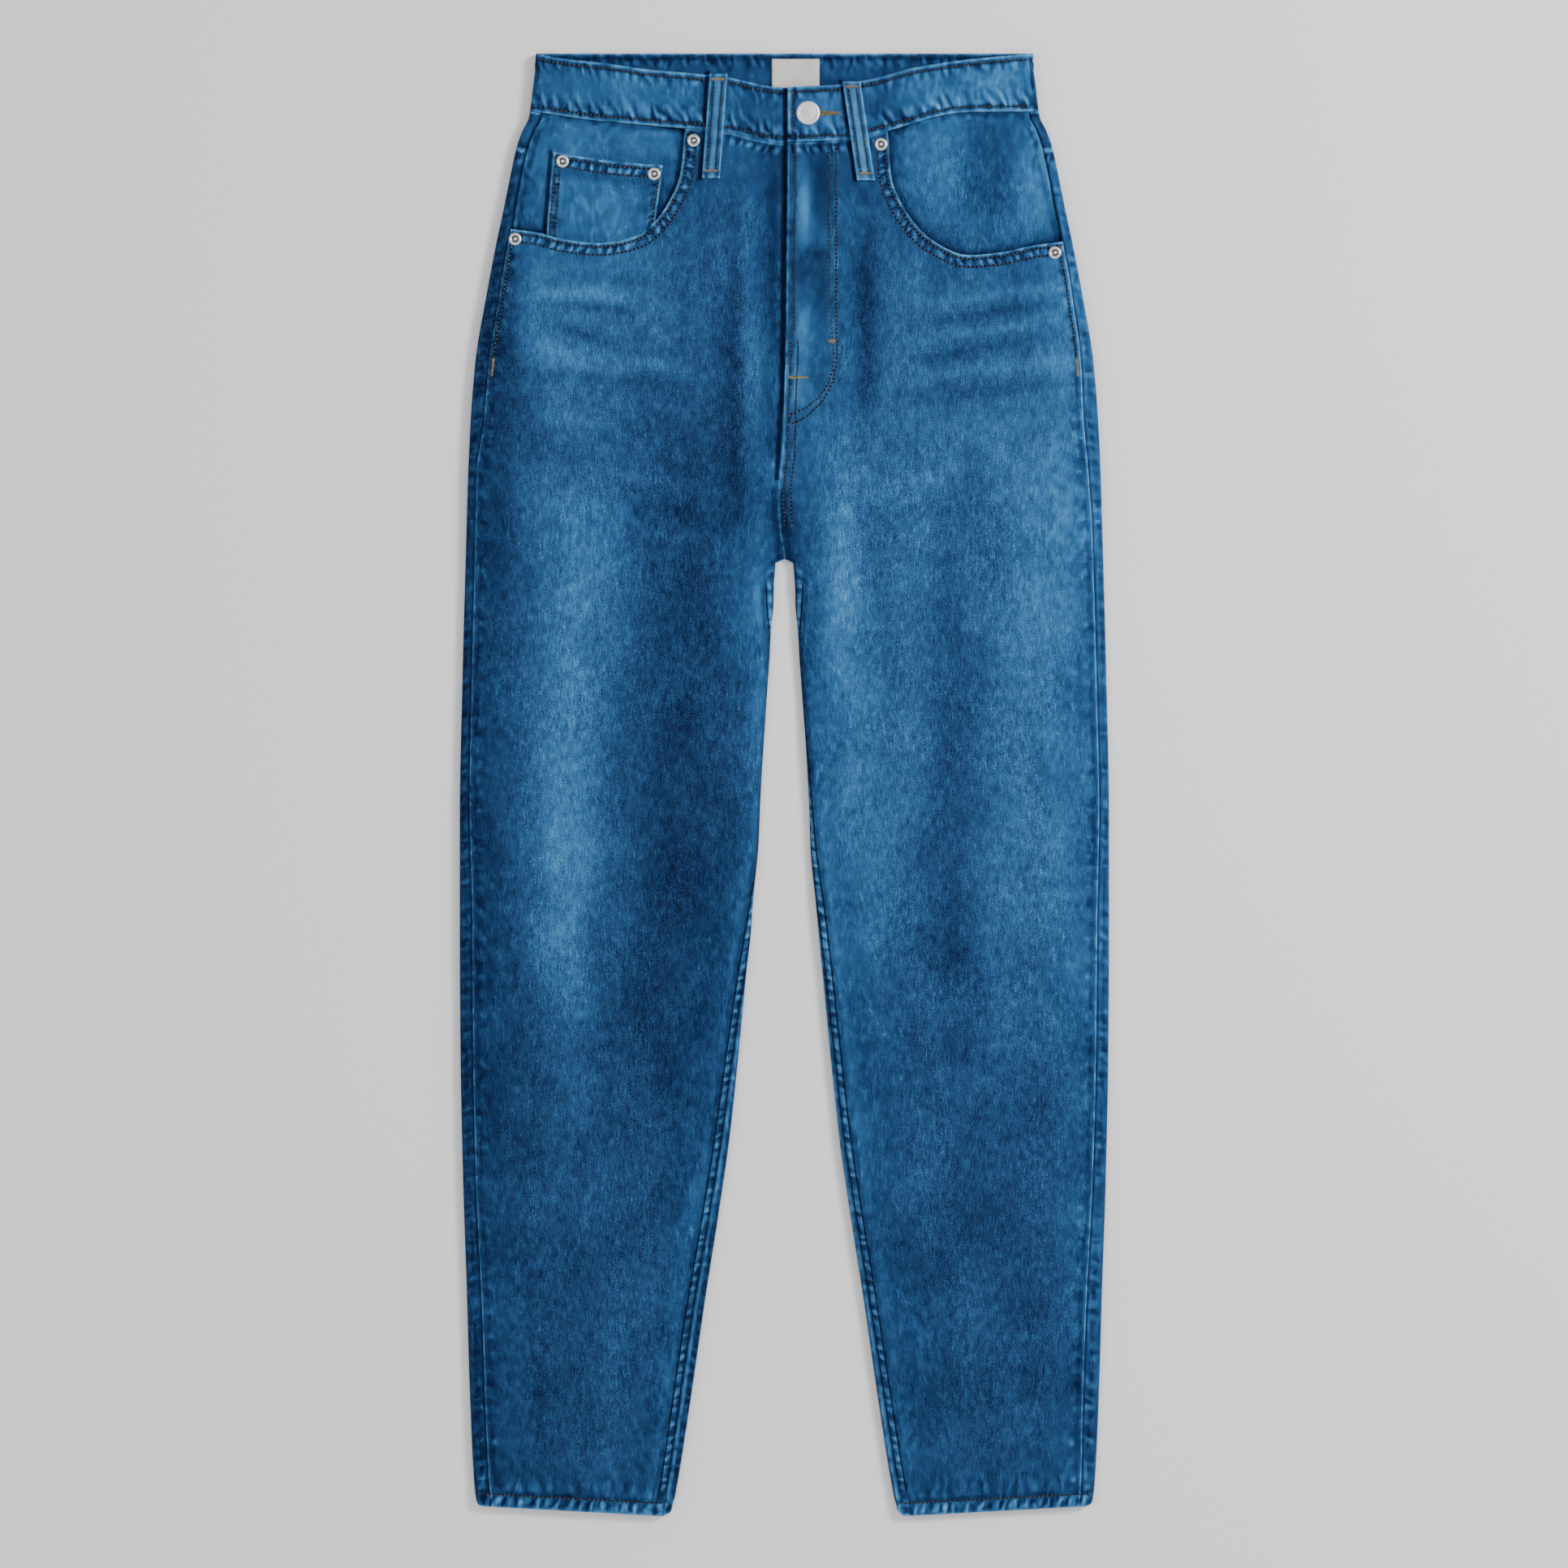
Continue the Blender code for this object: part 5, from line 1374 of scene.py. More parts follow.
@dataclass
class FrontPocket:
    """The denim facing seen in a scoop pocket, and the coin pocket on the right one."""

    side: Side
    finish: bpy.types.Material

    def height(self, x: Array, drop: Array) -> Array:
        """Middle of the facing: on the back, rising to the side seam and the waist seam."""
        out = np.abs(x)
        seam_out = OUTER_EDGE(drop) - SIDE_SEAM[self.side](drop)
        at_side = (1.0 - ease((seam_out - out) / 16.0)) * (1.0 - ease((drop - 92.0) / 26.0))
        at_waist = (1.0 - ease((drop - WAIST_SEAM[self.side](out)) / 17.0)) * ease((out - 80.0) / 16.0)
        return 3.6 + 2.3 * np.maximum(at_side, at_waist)

    def build(self) -> bpy.types.Object:
        """Build the facing, with a few soft lifts and a painted shadow by the pocket mouth."""
        across = np.linspace(0, 1, 58)[None, :]
        down = np.linspace(0, 1, 46)[:, None]
        drop = np.full((46, 58), 90.0)
        for _ in range(5):
            side_out = OUTER_EDGE(drop) - SIDE_SEAM[self.side](drop) - 0.6
            out = mix(57.0, side_out, ease(across) * 0.35 + 0.65 * across)
            drop = mix(WAIST_SEAM[self.side](out) + SEAM_GAP, FACING_FOOT[self.side](out), down)
        x = self.side.value * out
        height = self.height(x, drop)
        if self.side is Side.LEFT:
            height = height + 0.5 * Crease(120, 58, 150, 128, 8, 1.0).at(x, drop)
            height = height + 0.5 * Crease(176, 70, 160, 132, 6, 1.0).at(x, drop)
        points = np.stack((x, LENGTH / 2 - drop, height), axis=-1)
        tone = 0.42 + sum(fade.at(x, drop) for fade in FACING_FADES)
        # Painted shadow on the facing beside and under the pocket mouth's edge.
        mouth = smooth_path(POCKET_MOUTH[self.side], 60) * (self.side.value, 1)
        shade, _ = path_distance(np.stack((x, drop), -1), mouth)
        tone = tone - 0.12 * hump(shade, 0.0, 9.0) - 0.30 * hump(shade, 0.0, 2.6)
        marks = {"tone": tone, "to_side": side_out - out, "to_top": drop - WAIST_SEAM[self.side](out)}
        piece = cloth_shell(f"pocket_facing_panel_{self.side.word}", points, CLOTH, marks, self.finish)
        return show(piece, "denim", f"pocket_facing_{self.side.word}")


@dataclass
class CoinPocket:
    """Coin pocket on the right facing, its foot behind the pocket mouth."""

    finish: bpy.types.Material
    base: float = 4.5
    cloth: float = 1.0

    @staticmethod
    def top(across: Array) -> tuple[Array, Array]:
        """Distance from the centre and drop along its top edge."""
        return mix(166.0, 87.0, across), mix(70.8, 80.4, across) + 1.6 * np.sin(math.pi * across)

    def grid(self) -> tuple[Array, Array]:
        """x and drop of the pocket, rows by columns."""
        across, down = np.linspace(0, 1, 44)[None, :], np.linspace(0, 1, 36)[:, None]
        mouth = SeamLine([(o, d) for o, d in smooth_path(POCKET_MOUTH[Side.RIGHT], 60) if o > 72])
        top_out, top_drop = self.top(across)
        foot_out = mix(171.5, 94.0, across)
        foot_drop = mouth(foot_out) + 7.0
        return -mix(top_out, foot_out, down), mix(top_drop, foot_drop, down)

    def build(self) -> bpy.types.Object:
        """Build the pocket with its folded hem and edges."""
        x, drop = self.grid()
        top = drop - drop[:1]
        edge = np.minimum(np.abs(x - x[:, :1]), np.abs(x - x[:, -1:]))
        height = self.base + self.cloth / 2 + 0 * x
        detail = 0.22 * hump(top, 1.2, 1.4) - 0.14 * hump(top, 5.0, 1.8) + 0.16 * hump(edge, 1.2, 1.3)
        detail = detail + 0.12 * ripple(drop, 7.0, 0.4) * hump(edge, 4, 4)
        detail = detail + 0.12 * ripple(x, 8.0, 1.9) * hump(top, 6, 5)
        points = np.stack((x, LENGTH / 2 - drop, height + np.clip(detail, 0.0, None)), axis=-1)
        tone = 0.44 + 0.08 * hump(x, -125, 24) * hump(drop, 105, 20)
        # Painted shade along the two stitch rows and in a softer band below them.
        tone = tone - 0.14 * (hump(top, 3.2, 0.9) + hump(top, 9.0, 0.9)) - 0.12 * hump(top, 12.5, 2.5)
        piece = cloth_shell("coin_pocket_panel", points, self.cloth,
                            {"tone": tone, "to_top": top, "to_side": edge}, self.finish)
        return show(piece, "denim", "coin_pocket")


@dataclass
class BackPocket:
    """Patch pocket with a pointed foot, flat on the ground."""

    side: Side
    finish: bpy.types.Material
    centre: float = 100.0
    point: float = 18.0
    mouth_drop: float = 134.0
    foot_drop: float = 268.0
    half_width: Curve = Curve(((134, 72.0), (168, 70.0), (202, 67.0), (236, 64.0), (268, 60.0)))

    def place(self, across: Array, down: Array) -> tuple[Array, Array]:
        """x and drop from across, -1 to 1, and down, 0 to 1."""
        level = mix(self.mouth_drop, self.foot_drop, down)
        drop = level + self.point * (1 - np.abs(across)) * down**2
        return self.side.value * (self.centre + across * self.half_width(level)), drop

    def build(self) -> bpy.types.Object:
        """Build the pocket."""
        across, down = np.linspace(-1, 1, 47)[None, :], np.linspace(0, 1, 48)[:, None]
        x, drop = self.place(across, down)
        edge = np.minimum(np.abs(x - x[:, :1]), np.abs(x - x[:, -1:]))
        edge = np.minimum(edge, drop[-1:] - drop)
        top = drop - self.mouth_drop
        points = np.stack((x, LENGTH / 2 - drop, np.full_like(x, 0.6)), axis=-1)
        tone = 0.42 + 0.12 * hump(np.abs(x), 100, 40) * hump(drop, 200, 60) + 0 * x
        piece = cloth_shell(f"back_pocket_panel_{self.side.word}", points, CLOTH,
                            {"tone": tone, "to_side": edge, "to_top": top}, self.finish)
        return show(piece, "denim_back", f"back_pocket_{self.side.word}")


@dataclass
class BeltLoop:
    """One belt loop: a folded strip over the waistband."""

    name: str
    top: tuple[float, float]
    foot: tuple[float, float]
    finish: bpy.types.Material
    front: bool = True
    width: float = 12.6
    cloth: float = 1.4

    def middle(self, x: Array, drop: Array, share: Array) -> Array:
        """Height of the middle of the strip."""
        if not self.front:
            return 0.6 + 0 * drop
        side = Side.LEFT if self.top[0] > 0 else Side.RIGHT
        over = BAND_UPPER + BAND_CLOTH / 2 + (Waistband.rise(side, x) if side is Side.LEFT else 0.0)
        on_front = 7.0
        seam = float(WAIST_SEAM[side](abs(self.top[0])))
        surface = mix(over, on_front, ease((drop - seam - 3.0) / 12.0))
        bow = 0.9 * np.sin(math.pi * np.minimum(1.0, share / 0.7)) ** 2
        return surface + 0.3 + self.cloth / 2 + bow

    def place(self, across: Array, share: Array) -> Array:
        """Middle points from across, -1 to 1, and share down the strip."""
        x, drop = mix(self.top[0], self.foot[0], share), mix(self.top[1], self.foot[1], share)
        z = self.middle(x, drop, share)
        return np.stack(np.broadcast_arrays(x + across * self.width / 2, LENGTH / 2 - drop, z), axis=-1)

    def build(self) -> bpy.types.Object:
        """Build the strip; on a front loop, raised at its folded foot."""
        across, share = np.linspace(-1, 1, 15)[None, :], np.linspace(0, 1, 60)[:, None]
        points = self.place(across, share)
        length = abs(self.foot[1] - self.top[1])
        end = np.minimum(share, 1 - share) * length + 0 * across
        edge = (1 - np.abs(across)) * self.width / 2 + 0 * share
        if self.front:
            points[..., 2] += 0.22 * hump(edge, 1.0, 1.1) - 0.10 * hump(edge, 3.2, 1.2)
            points[..., 2] += 0.35 * ease((5.0 - end) / 1.6) * (share > 0.5)
        tone = 0.56 + 0.10 * hump(across, 0.0, 0.3) + 0 * end
        cloth = self.cloth if self.front else CLOTH
        piece = cloth_shell(f"{self.name}_strip", points, cloth,
                            {"tone": tone, "to_side": edge, "to_end": end}, self.finish)
        return show(piece, "denim" if self.front else "denim_back", self.name)


@dataclass
class Label:
    """Blank woven label inside the back waistband."""

    finish: bpy.types.Material

    def build(self) -> bpy.types.Object:
        """Build the label, raised a little by its ends."""
        across, down = np.linspace(0, 1, 24)[None, :], np.linspace(0, 1, 22)[:, None]
        x, drop = mix(-9.0, 25.0, across) + 0 * down, mix(4.0, 36.0, down) + 0 * across
        edge = np.minimum(across, 1 - across) * 34.0
        height = 4.35 + 0.25 * hump(edge, 1.5, 1.8) + 0.12 * ripple(x + drop * 0.4, 11.0, 0.6)
        points = np.stack((x, LENGTH / 2 - drop, height + 0.1), axis=-1)
        piece = cloth_shell("woven_label_patch", points, 0.6, {"edge": edge + 0 * down}, self.finish)
        return show(piece, "woven_label", "woven_label")


class Needle:
    """Sews rows of stitches, collected by thread and joined into a few pieces."""

    def __init__(self) -> None:
        """Start with no stitches."""
        self.rows: dict[Thread, list[tuple[Array, Array, Array, float, float]]] = {
            thread: [] for thread in Thread
        }

    def sew(self, path: Array, normal: Array | tuple = UP, pitch: float = 3.0, long: float = 1.7,
            wide: float = 0.66, thread: Thread = Thread.TAN, hole: Thread | None = Thread.NAVY) -> None:
        """Sew one row along a path on a surface.

        Args:
            path: Points on the cloth, in order.
            normal: Outward direction, one for all the points or one for each.
            pitch: Distance from one stitch to the next.
            long: Length of a stitch.
            wide: Width of the thread.
            thread: Colour of the stitches.
            hole: Colour of the dark pieces laid between them as painted shadow of the needle holes, or
                None.
        """
        path = np.asarray(path, float)
        normal = np.broadcast_to(np.asarray(normal, float), path.shape)
        step = np.linalg.norm(np.diff(path, axis=0), axis=1)
        at = np.concatenate(([0.0], np.cumsum(step)))
        count = max(1, int(at[-1] // pitch))
        starts = (np.arange(count) + 0.5) * at[-1] / count
        self.lay(path, normal, at, starts, long, wide, 0.14, thread)
        # Painted shadow: dark pieces laid a little sunk between the stitches.
        if hole is not None:
            step = at[-1] / count
            self.lay(path, normal, at, starts[:-1] + step / 2, step * 1.25, wide * 2.1, -0.12, hole)

    def lay(self, path: Array, normal: Array, at: Array, centres: Array, long: float, wide: float,
            lift: float, thread: Thread) -> None:
        """Record stitches centred at distances along a path."""
        def sample(values: Array, where: Array) -> Array:
            """Read a row of points at distances along the path."""
            return np.stack([np.interp(where, at, values[:, k]) for k in range(3)], axis=-1)

        half = long / 2
        ends = sample(path, np.clip(centres + half, 0, at[-1]))
        ends = ends - sample(path, np.clip(centres - half, 0, at[-1]))
        up = sample(normal, centres)
        self.rows[thread].append((sample(path, centres) + up * lift, ends, up, long, wide))

    def bar(self, start: tuple, end: tuple, wide: float = 2.2, thread: Thread = Thread.GOLD,
            step: float = 0.62, normal: tuple = UP) -> None:
        """Sew a bar tack: close cross stitches between two points."""
        start, end = np.asarray(start, float), np.asarray(end, float)
        count = max(3, int(np.linalg.norm(end - start) / step))
        along = (end - start) / np.linalg.norm(end - start)
        up = np.asarray(normal, float)
        cross = np.cross(up, along)
        share = (np.arange(count) + 0.5) / count
        centres = start + share[:, None] * (end - start)
        slant = cross + 0.25 * along * np.where(np.arange(count) % 2, 1, -1)[:, None]
        ups = np.tile(up, (count, 1))
        self.rows[thread].append((centres + up * 0.25, slant * wide, ups, wide, 0.6))

    def finish(self, name: str, slot: str) -> None:
        """Make one piece for each thread from the rows collected so far, then start afresh."""
        for thread, rows in self.rows.items():
            if not rows:
                continue
            total = bmesh.new()
            for centres, ends, ups, long, wide in rows:
                part = self.row_mesh(centres, ends, ups, long, wide)
                total.from_mesh(part)
                bpy.data.meshes.remove(part)
            piece = as_object(total, f"{name}_{thread.name.lower()}")
            piece.data.shade_smooth()
            finish = f"thread_{thread.name.lower()}"
            piece.data.materials.append(bpy.data.materials.get(finish) or ThreadFinish(thread).material())
            show(piece, slot)
            rows.clear()

    @staticmethod
    def row_mesh(centres: Array, ends: Array, ups: Array, long: float, wide: float) -> bpy.types.Mesh:
        """One row's stitches, each a small squashed ball along its thread."""
        shape = bmesh.new()
        for centre, end, up in zip(centres, ends, ups):
            along = Vector(end).normalized()
            cross = Vector(up).cross(along).normalized()
            rise = along.cross(cross)
            turn = Matrix((along, cross, rise)).transposed().to_4x4()
            size = Matrix.Diagonal((long / 2 * MM, wide / 2 * MM, wide * 0.36 * MM, 1.0))
            place = Matrix.Translation(Vector(centre) * MM) @ turn @ size
            bmesh.ops.create_icosphere(shape, subdivisions=1, radius=1.0, matrix=place)
        mesh = bpy.data.meshes.new("row")
        shape.to_mesh(mesh)
        shape.free()
        return mesh


class Topstitching:
    """All rows of topstitching on the garment."""

    coin_top = 5.62

    def __init__(self, needle: Needle, coin: CoinPocket, patches: list[BackPocket]) -> None:
        """Args:
            needle: Collects the rows.
            coin: The coin pocket.
            patches: The two back pockets.
        """
        self.needle, self.coin, self.patches = needle, coin, patches
        self.tubes = {side: LegTube(side) for side in Side}

    def on_tube(self, side: Side, run: Array, drop: Array, extra: float = 0.0) -> tuple[Array, Array]:
        """Points and normals on the outside of a leg."""
        tube = self.tubes[side]
        run, drop = np.broadcast_arrays(np.asarray(run, float), np.asarray(drop, float))
        point, facing = tube.place(run, drop)
        ahead = tube.place(run + 0.3, drop)[0] - tube.place(run - 0.3, drop)[0]
        normal = np.stack((-side.value * ahead[:, 2], 0 * run, side.value * ahead[:, 0]), axis=-1) * -1.0
        normal /= np.linalg.norm(normal, axis=1)[:, None]
        return point + normal * (CLOTH / 2 + extra), normal

    def on_front(self, side: Side, out: Array, drop: Array, extra: float = 0.0) -> Array:
        """Points on top of a front panel, by distance from the centre and drop."""
        tube = self.tubes[side]
        point, _ = tube.place(tube.run_at(np.asarray(out, float), np.asarray(drop, float)), drop)
        return point + (0.0, 0.0, CLOTH / 2 + extra)

    def fly(self) -> None:
        """Edge stitches, the curved fly rows, the centre rows below and the bar tacks."""
        left = Side.LEFT
        drop = np.linspace(66, 300, 120)
        edge = CENTRE_FRONT(drop)
        self.needle.sew(self.on_front(left, edge[:70] + 5.4, drop[:70], 0.05))
        low = np.linspace(205, 340, 70)
        self.needle.sew(self.on_front(left, CENTRE_FRONT(low) + 3.4, low, 0.1))
        self.needle.sew(self.on_front(left, CENTRE_FRONT(low) + 8.6, low, 0.1))
        for rows in (
            ((31.7, 66), (31.9, 130), (32.2, 180), (34.6, 207), (35.0, 219), (32.9, 233), (25.3, 246),
             (12.5, 256), (2.0, 260)),
            ((37.0, 66), (37.0, 130), (37.2, 190), (37.6, 215), (35.4, 232), (29.0, 247), (14.0, 262),
             (3.0, 267)),
        ):
            path = smooth_path(rows, 160)
            self.needle.sew(self.on_front(left, path[:, 0], path[:, 1], 0.05))
        tack = self.on_front(left, np.array((2.6, 17.2)), np.array((233.0, 233.0)), 0.1)
        self.needle.bar(tack[0], tack[1], 2.6)
        tack = self.on_front(left, np.array((31.2, 37.0)), np.array((206.8, 206.8)), 0.1)
        self.needle.bar(tack[0], tack[1], 2.6)

    def pockets(self) -> None:
        """Rows beside the pocket mouths and on the coin pocket."""
        for side in Side:
            mouth = smooth_path(POCKET_MOUTH[side], 200)
            along = np.gradient(mouth, axis=0)
            along /= np.linalg.norm(along, axis=1)[:, None]
            inward = np.stack((-along[:, 1], along[:, 0]), axis=-1)
            if inward[100, 1] < 0:
                inward = -inward
            for offset in (2.6, 8.4):
                path = mouth + inward * offset
                seam = OUTER_EDGE(path[:, 1]) - SIDE_SEAM[side](path[:, 1]) - 1.0
                good = (path[:, 0] < seam) & (path[:, 1] > WAIST_SEAM[side](path[:, 0]) + 1.5)
                path = path[good]
                self.needle.sew(self.on_front(side, path[:, 0], path[:, 1], 0.15 if offset < 4 else 0.0))
        x, drop = self.coin.grid()
        top_out, top_drop = self.coin.top(np.linspace(0.02, 0.98, 60))
        for below in (3.2, 9.0):
            self.needle.sew(self.flat(-top_out, top_drop + below, self.coin_top))
        share = np.linspace(0.02, 1, 40)
        for edge, steps in ((0, (2.2, 6.0)), (-1, (-2.0,))):
            column_x = np.interp(share, np.linspace(0, 1, 36), x[:, edge])
            column_drop = np.interp(share, np.linspace(0, 1, 36), drop[:, edge])
            for step in steps:
                self.needle.sew(self.flat(column_x + step, column_drop, self.coin_top))

    @staticmethod
    def flat(x: Array, drop: Array, z: float) -> Array:
        """Points on a level surface."""
        return np.stack((x, LENGTH / 2 - drop, np.full_like(x, z)), axis=-1)

    def waistband(self) -> None:
        """Rows by both edges of the band, all round, its front end and the buttonhole."""
        for side in Side:
            start = 3.0 if side is Side.RIGHT else 5.0
            out = np.linspace(start, 176, 150)
            x = side.value * out
            z = BAND_UPPER + BAND_CLOTH / 2 + Waistband.rise(side, x) - 0.05
            for drop in (WAIST_EDGE[side](out) + 3.6, WAIST_SEAM[side](out) - 3.6):
                self.needle.sew(np.stack((x, LENGTH / 2 - drop, z), axis=-1))
            back = np.linspace(0, 178, 90)
            for drop in (3.4, BAND_HEIGHT - 3.4):
                path = self.flat(side.value * back, np.full_like(back, drop), BAND_UNDER - BAND_CLOTH / 2)
                self.needle.sew(path, DOWN)
            inside = np.linspace(2, 174, 90)
            self.needle.sew(self.flat(side.value * inside, np.full_like(inside, 3.4),
                                      BAND_UNDER + BAND_CLOTH / 2), thread=Thread.NAVY, hole=None)
        drop = np.linspace(28, 60, 30)
        top = BAND_UPPER + BAND_CLOTH / 2 + OVERLAP_RISE
        self.needle.sew(self.flat(np.full_like(drop, 5.6), drop, top))
        self.buttonhole(top)

    def buttonhole(self, top: float) -> None:
        """Purl stitches round the eye and along the slit."""
        cx, cy = BUTTON_X, LENGTH / 2 - BUTTON_DROP
        for angle in np.radians(np.arange(25, 336, 9)):
            way = np.array((math.cos(angle), math.sin(angle), 0.0))
            start = np.array((cx, cy, top + 0.05)) + way * 3.0
            self.needle.sew(np.stack((start, start + way * 1.9)), pitch=1.9, long=2.1, wide=0.75,
                            thread=Thread.TAN, hole=None)
        for k, x in enumerate(np.arange(20.6, 38.6, 0.5)):
            reach = mix(2.5, 0.7, (x - 20.6) / 18.0) + 0.4 * math.sin(2.3 * k)
            for way in (-1, 1):
                start = np.array((x, cy + way * 0.1, top + 0.1))
                end = start + np.array((0.5, way * reach, 0.0))
                self.needle.sew(np.stack((start, end)), pitch=3.0, long=reach + 0.3, wide=0.62,
                                thread=Thread.GOLD if k % 3 else Thread.TAN, hole=None)
        for away, rise in ((2.0, 1.1), (2.6, -0.2), (1.7, -1.2)):
            start = np.array((38.2, cy, top + 0.1))
            self.needle.sew(np.stack((start, start + (away, rise, 0.0))), pitch=3.0, long=2.4, wide=0.4,
                            thread=Thread.GOLD, hole=None)

    def seams(self) -> None:
        """Side seam top rows, inner leg rows, centre back, yoke, hems and back pockets."""
        for side in Side:
            tube, sign = self.tubes[side], side.value
            drop = np.linspace(138, 222, 60)
            self.needle.sew(*self.on_tube(side, tube.side_run(drop) + 3.0, drop, 0.2))
            drop = np.array((219.0, 232.0))
            end = self.on_tube(side, tube.side_run(drop) + 3.0, drop, 0.2)[0]
            self.needle.bar(end[0], end[1], 2.4)
            drop = np.linspace(380, 1034, 420)
            for offset in (2.6, 7.2):
                row = self.on_tube(side, tube.inseam_run(drop) - offset, drop, 0.15)
                self.needle.sew(*row, thread=Thread.NAVY)
            self.hems(side)
            drop = np.linspace(114, 358, 140)
            for offset in (2.2, 7.4):
                if side is Side.LEFT:
                    path = self.flat(np.full_like(drop, offset), drop, 0.0)
                    path[:, 2] = UNDER_LEVEL(drop) - CLOTH / 2
                    self.needle.sew(path, DOWN)
            out = np.linspace(2, 214, 130)
            for offset in (3.0, 8.6):
                drop = YOKE_SEAM(out) - offset
                path = self.flat(sign * out, drop, 1.5)
                good = out < OUTER_EDGE(drop) - 4.0
                self.needle.sew(path[good], DOWN)
        for patch in self.patches:
            self.back_pocket(patch)

    def hems(self, side: Side) -> None:
        """One row round each hem, on top and underneath."""
        tube = self.tubes[side]
        level = np.full(90, HEM_DROP - HEM_BAND + 0.6)
        for first, last, lift in ((0.02, 0.985, 0.55), (-0.03, -0.97, 0.0)):
            share = np.linspace(abs(first), abs(last), 90)
            drop = hem_sloped(level, share)
            run = np.sign(first) * share * tube.inseam_run(drop)
            self.needle.sew(*self.on_tube(side, run, drop, lift))

    def back_pocket(self, pocket: BackPocket) -> None:
        """Two rows round a back pocket and two at its mouth."""
        height = pocket.foot_drop - pocket.mouth_drop
        for inset in (2.4, 8.0):
            across = 1 - inset / 66
            sides = np.linspace(0.03, 1 - inset / height, 60)
            foot = np.linspace(-across, across, 60)
            parts = (
                pocket.place(np.full_like(sides, -across), sides),
                pocket.place(foot, np.full_like(foot, 1 - inset / height)),
                pocket.place(np.full_like(sides, across), sides[::-1]),
            )
            path = np.concatenate([self.flat(x, d, 0.0) for x, d in parts])
            self.needle.sew(path, DOWN)
        for below in (3.0, 14.0):
            across = np.linspace(-0.97, 0.97, 60)
            x, drop = pocket.place(across, np.full_like(across, below / height))
            self.needle.sew(self.flat(x, drop, 0.0), DOWN)

    def loops(self, loops: list[BeltLoop]) -> None:
        """Two rows down each loop and a bar tack at each end."""
        for loop in loops:
            share = np.linspace(0.05, 0.95, 60)
            way = 1.0 if loop.front else -1.0
            half = (loop.cloth if loop.front else CLOTH) / 2
            for across in (-0.45, 0.45):
                path = loop.place(np.full_like(share, across), share) + (0, 0, way * (half - 0.05))
                self.needle.sew(path, (0.0, 0.0, way))
            for at in (0.05, 0.93):
                ends = loop.place(np.array((-0.74, 0.74)), np.array((at, at)))
                rise = (0.3 if at > 0.5 else 0.1) if loop.front else -0.25
                ends = ends + (0, 0, way * (half + rise))
                self.needle.bar(ends[0], ends[1], 2.3, normal=(0.0, 0.0, way))


@dataclass
class RoundMetal:
    """A turned metal piece: a rivet or the tack button."""

    node: str
    x: float
    drop: float
    base: float
    profile: tuple
    finish: bpy.types.Material
    segments: int = 48

    def build(self) -> bpy.types.Object:
        """Spin the profile, mark its hollows and set it in place."""
        shape = bmesh.new()
        points = [shape.verts.new((radius * MM, 0.0, height * MM)) for radius, height, _ in self.profile]
        edges = [shape.edges.new(pair) for pair in zip(points, points[1:])]
        bmesh.ops.spin(shape, geom=points + edges, cent=(0, 0, 0), axis=(0, 0, 1), angle=2 * math.pi,
                       steps=self.segments, use_merge=True)
        bmesh.ops.remove_doubles(shape, verts=shape.verts[:], dist=1e-6)
        bmesh.ops.recalc_face_normals(shape, faces=shape.faces[:])
        layer = shape.verts.layers.float.new("hollow")
        radii = np.array([row[0] for row in self.profile])
        heights = np.array([row[1] for row in self.profile])
        dark = np.array([row[2] for row in self.profile])
        for vert in shape.verts:
            radius = math.hypot(vert.co.x, vert.co.y) / MM
            nearest = int(np.argmin(np.hypot(radii - radius, heights - vert.co.z / MM)))
            vert[layer] = float(dark[nearest])
        place = Matrix.Translation((self.x * MM, (LENGTH / 2 - self.drop) * MM, self.base * MM))
        bmesh.ops.transform(shape, matrix=place, verts=shape.verts[:])
        piece = as_object(shape, f"{self.node}_metal")
        piece.data.shade_smooth()
        piece.data.set_sharp_from_angle(angle=math.radians(45))
        piece.data.materials.append(self.finish)
        return show(piece, "metal", self.node)


# Profiles of the metal pieces: radius, height and how dark the hollow is
RIVET_PROFILE = (
    (0.0, 0.0, 0), (4.2, 0.0, 0), (4.5, 0.12, 0), (4.6, 0.35, 0), (4.5, 0.62, 0), (4.2, 0.88, 0),
    (3.8, 1.06, 0), (3.4, 1.14, 0), (3.0, 1.10, 0), (2.7, 0.96, 0.1), (2.4, 0.74, 0.7), (2.1, 0.60, 1),
    (1.7, 0.56, 1),
    (1.4, 0.66, 0.8), (1.2, 0.94, 0.1), (1.0, 1.16, 0), (0.6, 1.30, 0), (0.0, 1.34, 0),
)
BUTTON_PROFILE = (
    (0.0, 0.0, 0), (2.2, 0.0, 0), (2.2, 2.45, 0.6), (7.6, 2.55, 0.3), (8.2, 2.75, 0), (8.5, 3.15, 0),
    (8.48, 3.6, 0), (8.2, 4.05, 0), (7.7, 4.38, 0), (7.0, 4.50, 0), (6.4, 4.44, 0), (6.0, 4.30, 0.25),
    (5.6, 4.26, 0.2), (5.0, 4.34, 0), (4.0, 4.44, 0), (3.0, 4.50, 0), (1.6, 4.54, 0), (0.0, 4.56, 0),
)
RIVET_PLACES = (
    ("rivet_right_waist", -65.2, 62.9, 7.3),
    ("rivet_right_side", -193.2, 133.6, 7.3),
    ("rivet_left_waist", 69.3, 65.7, 7.3),
    ("rivet_left_side", 194.0, 143.4, 7.3),
    ("rivet_coin_side", -159.3, 77.6, 5.8),
    ("rivet_coin_centre", -93.5, 86.7, 5.8),
)


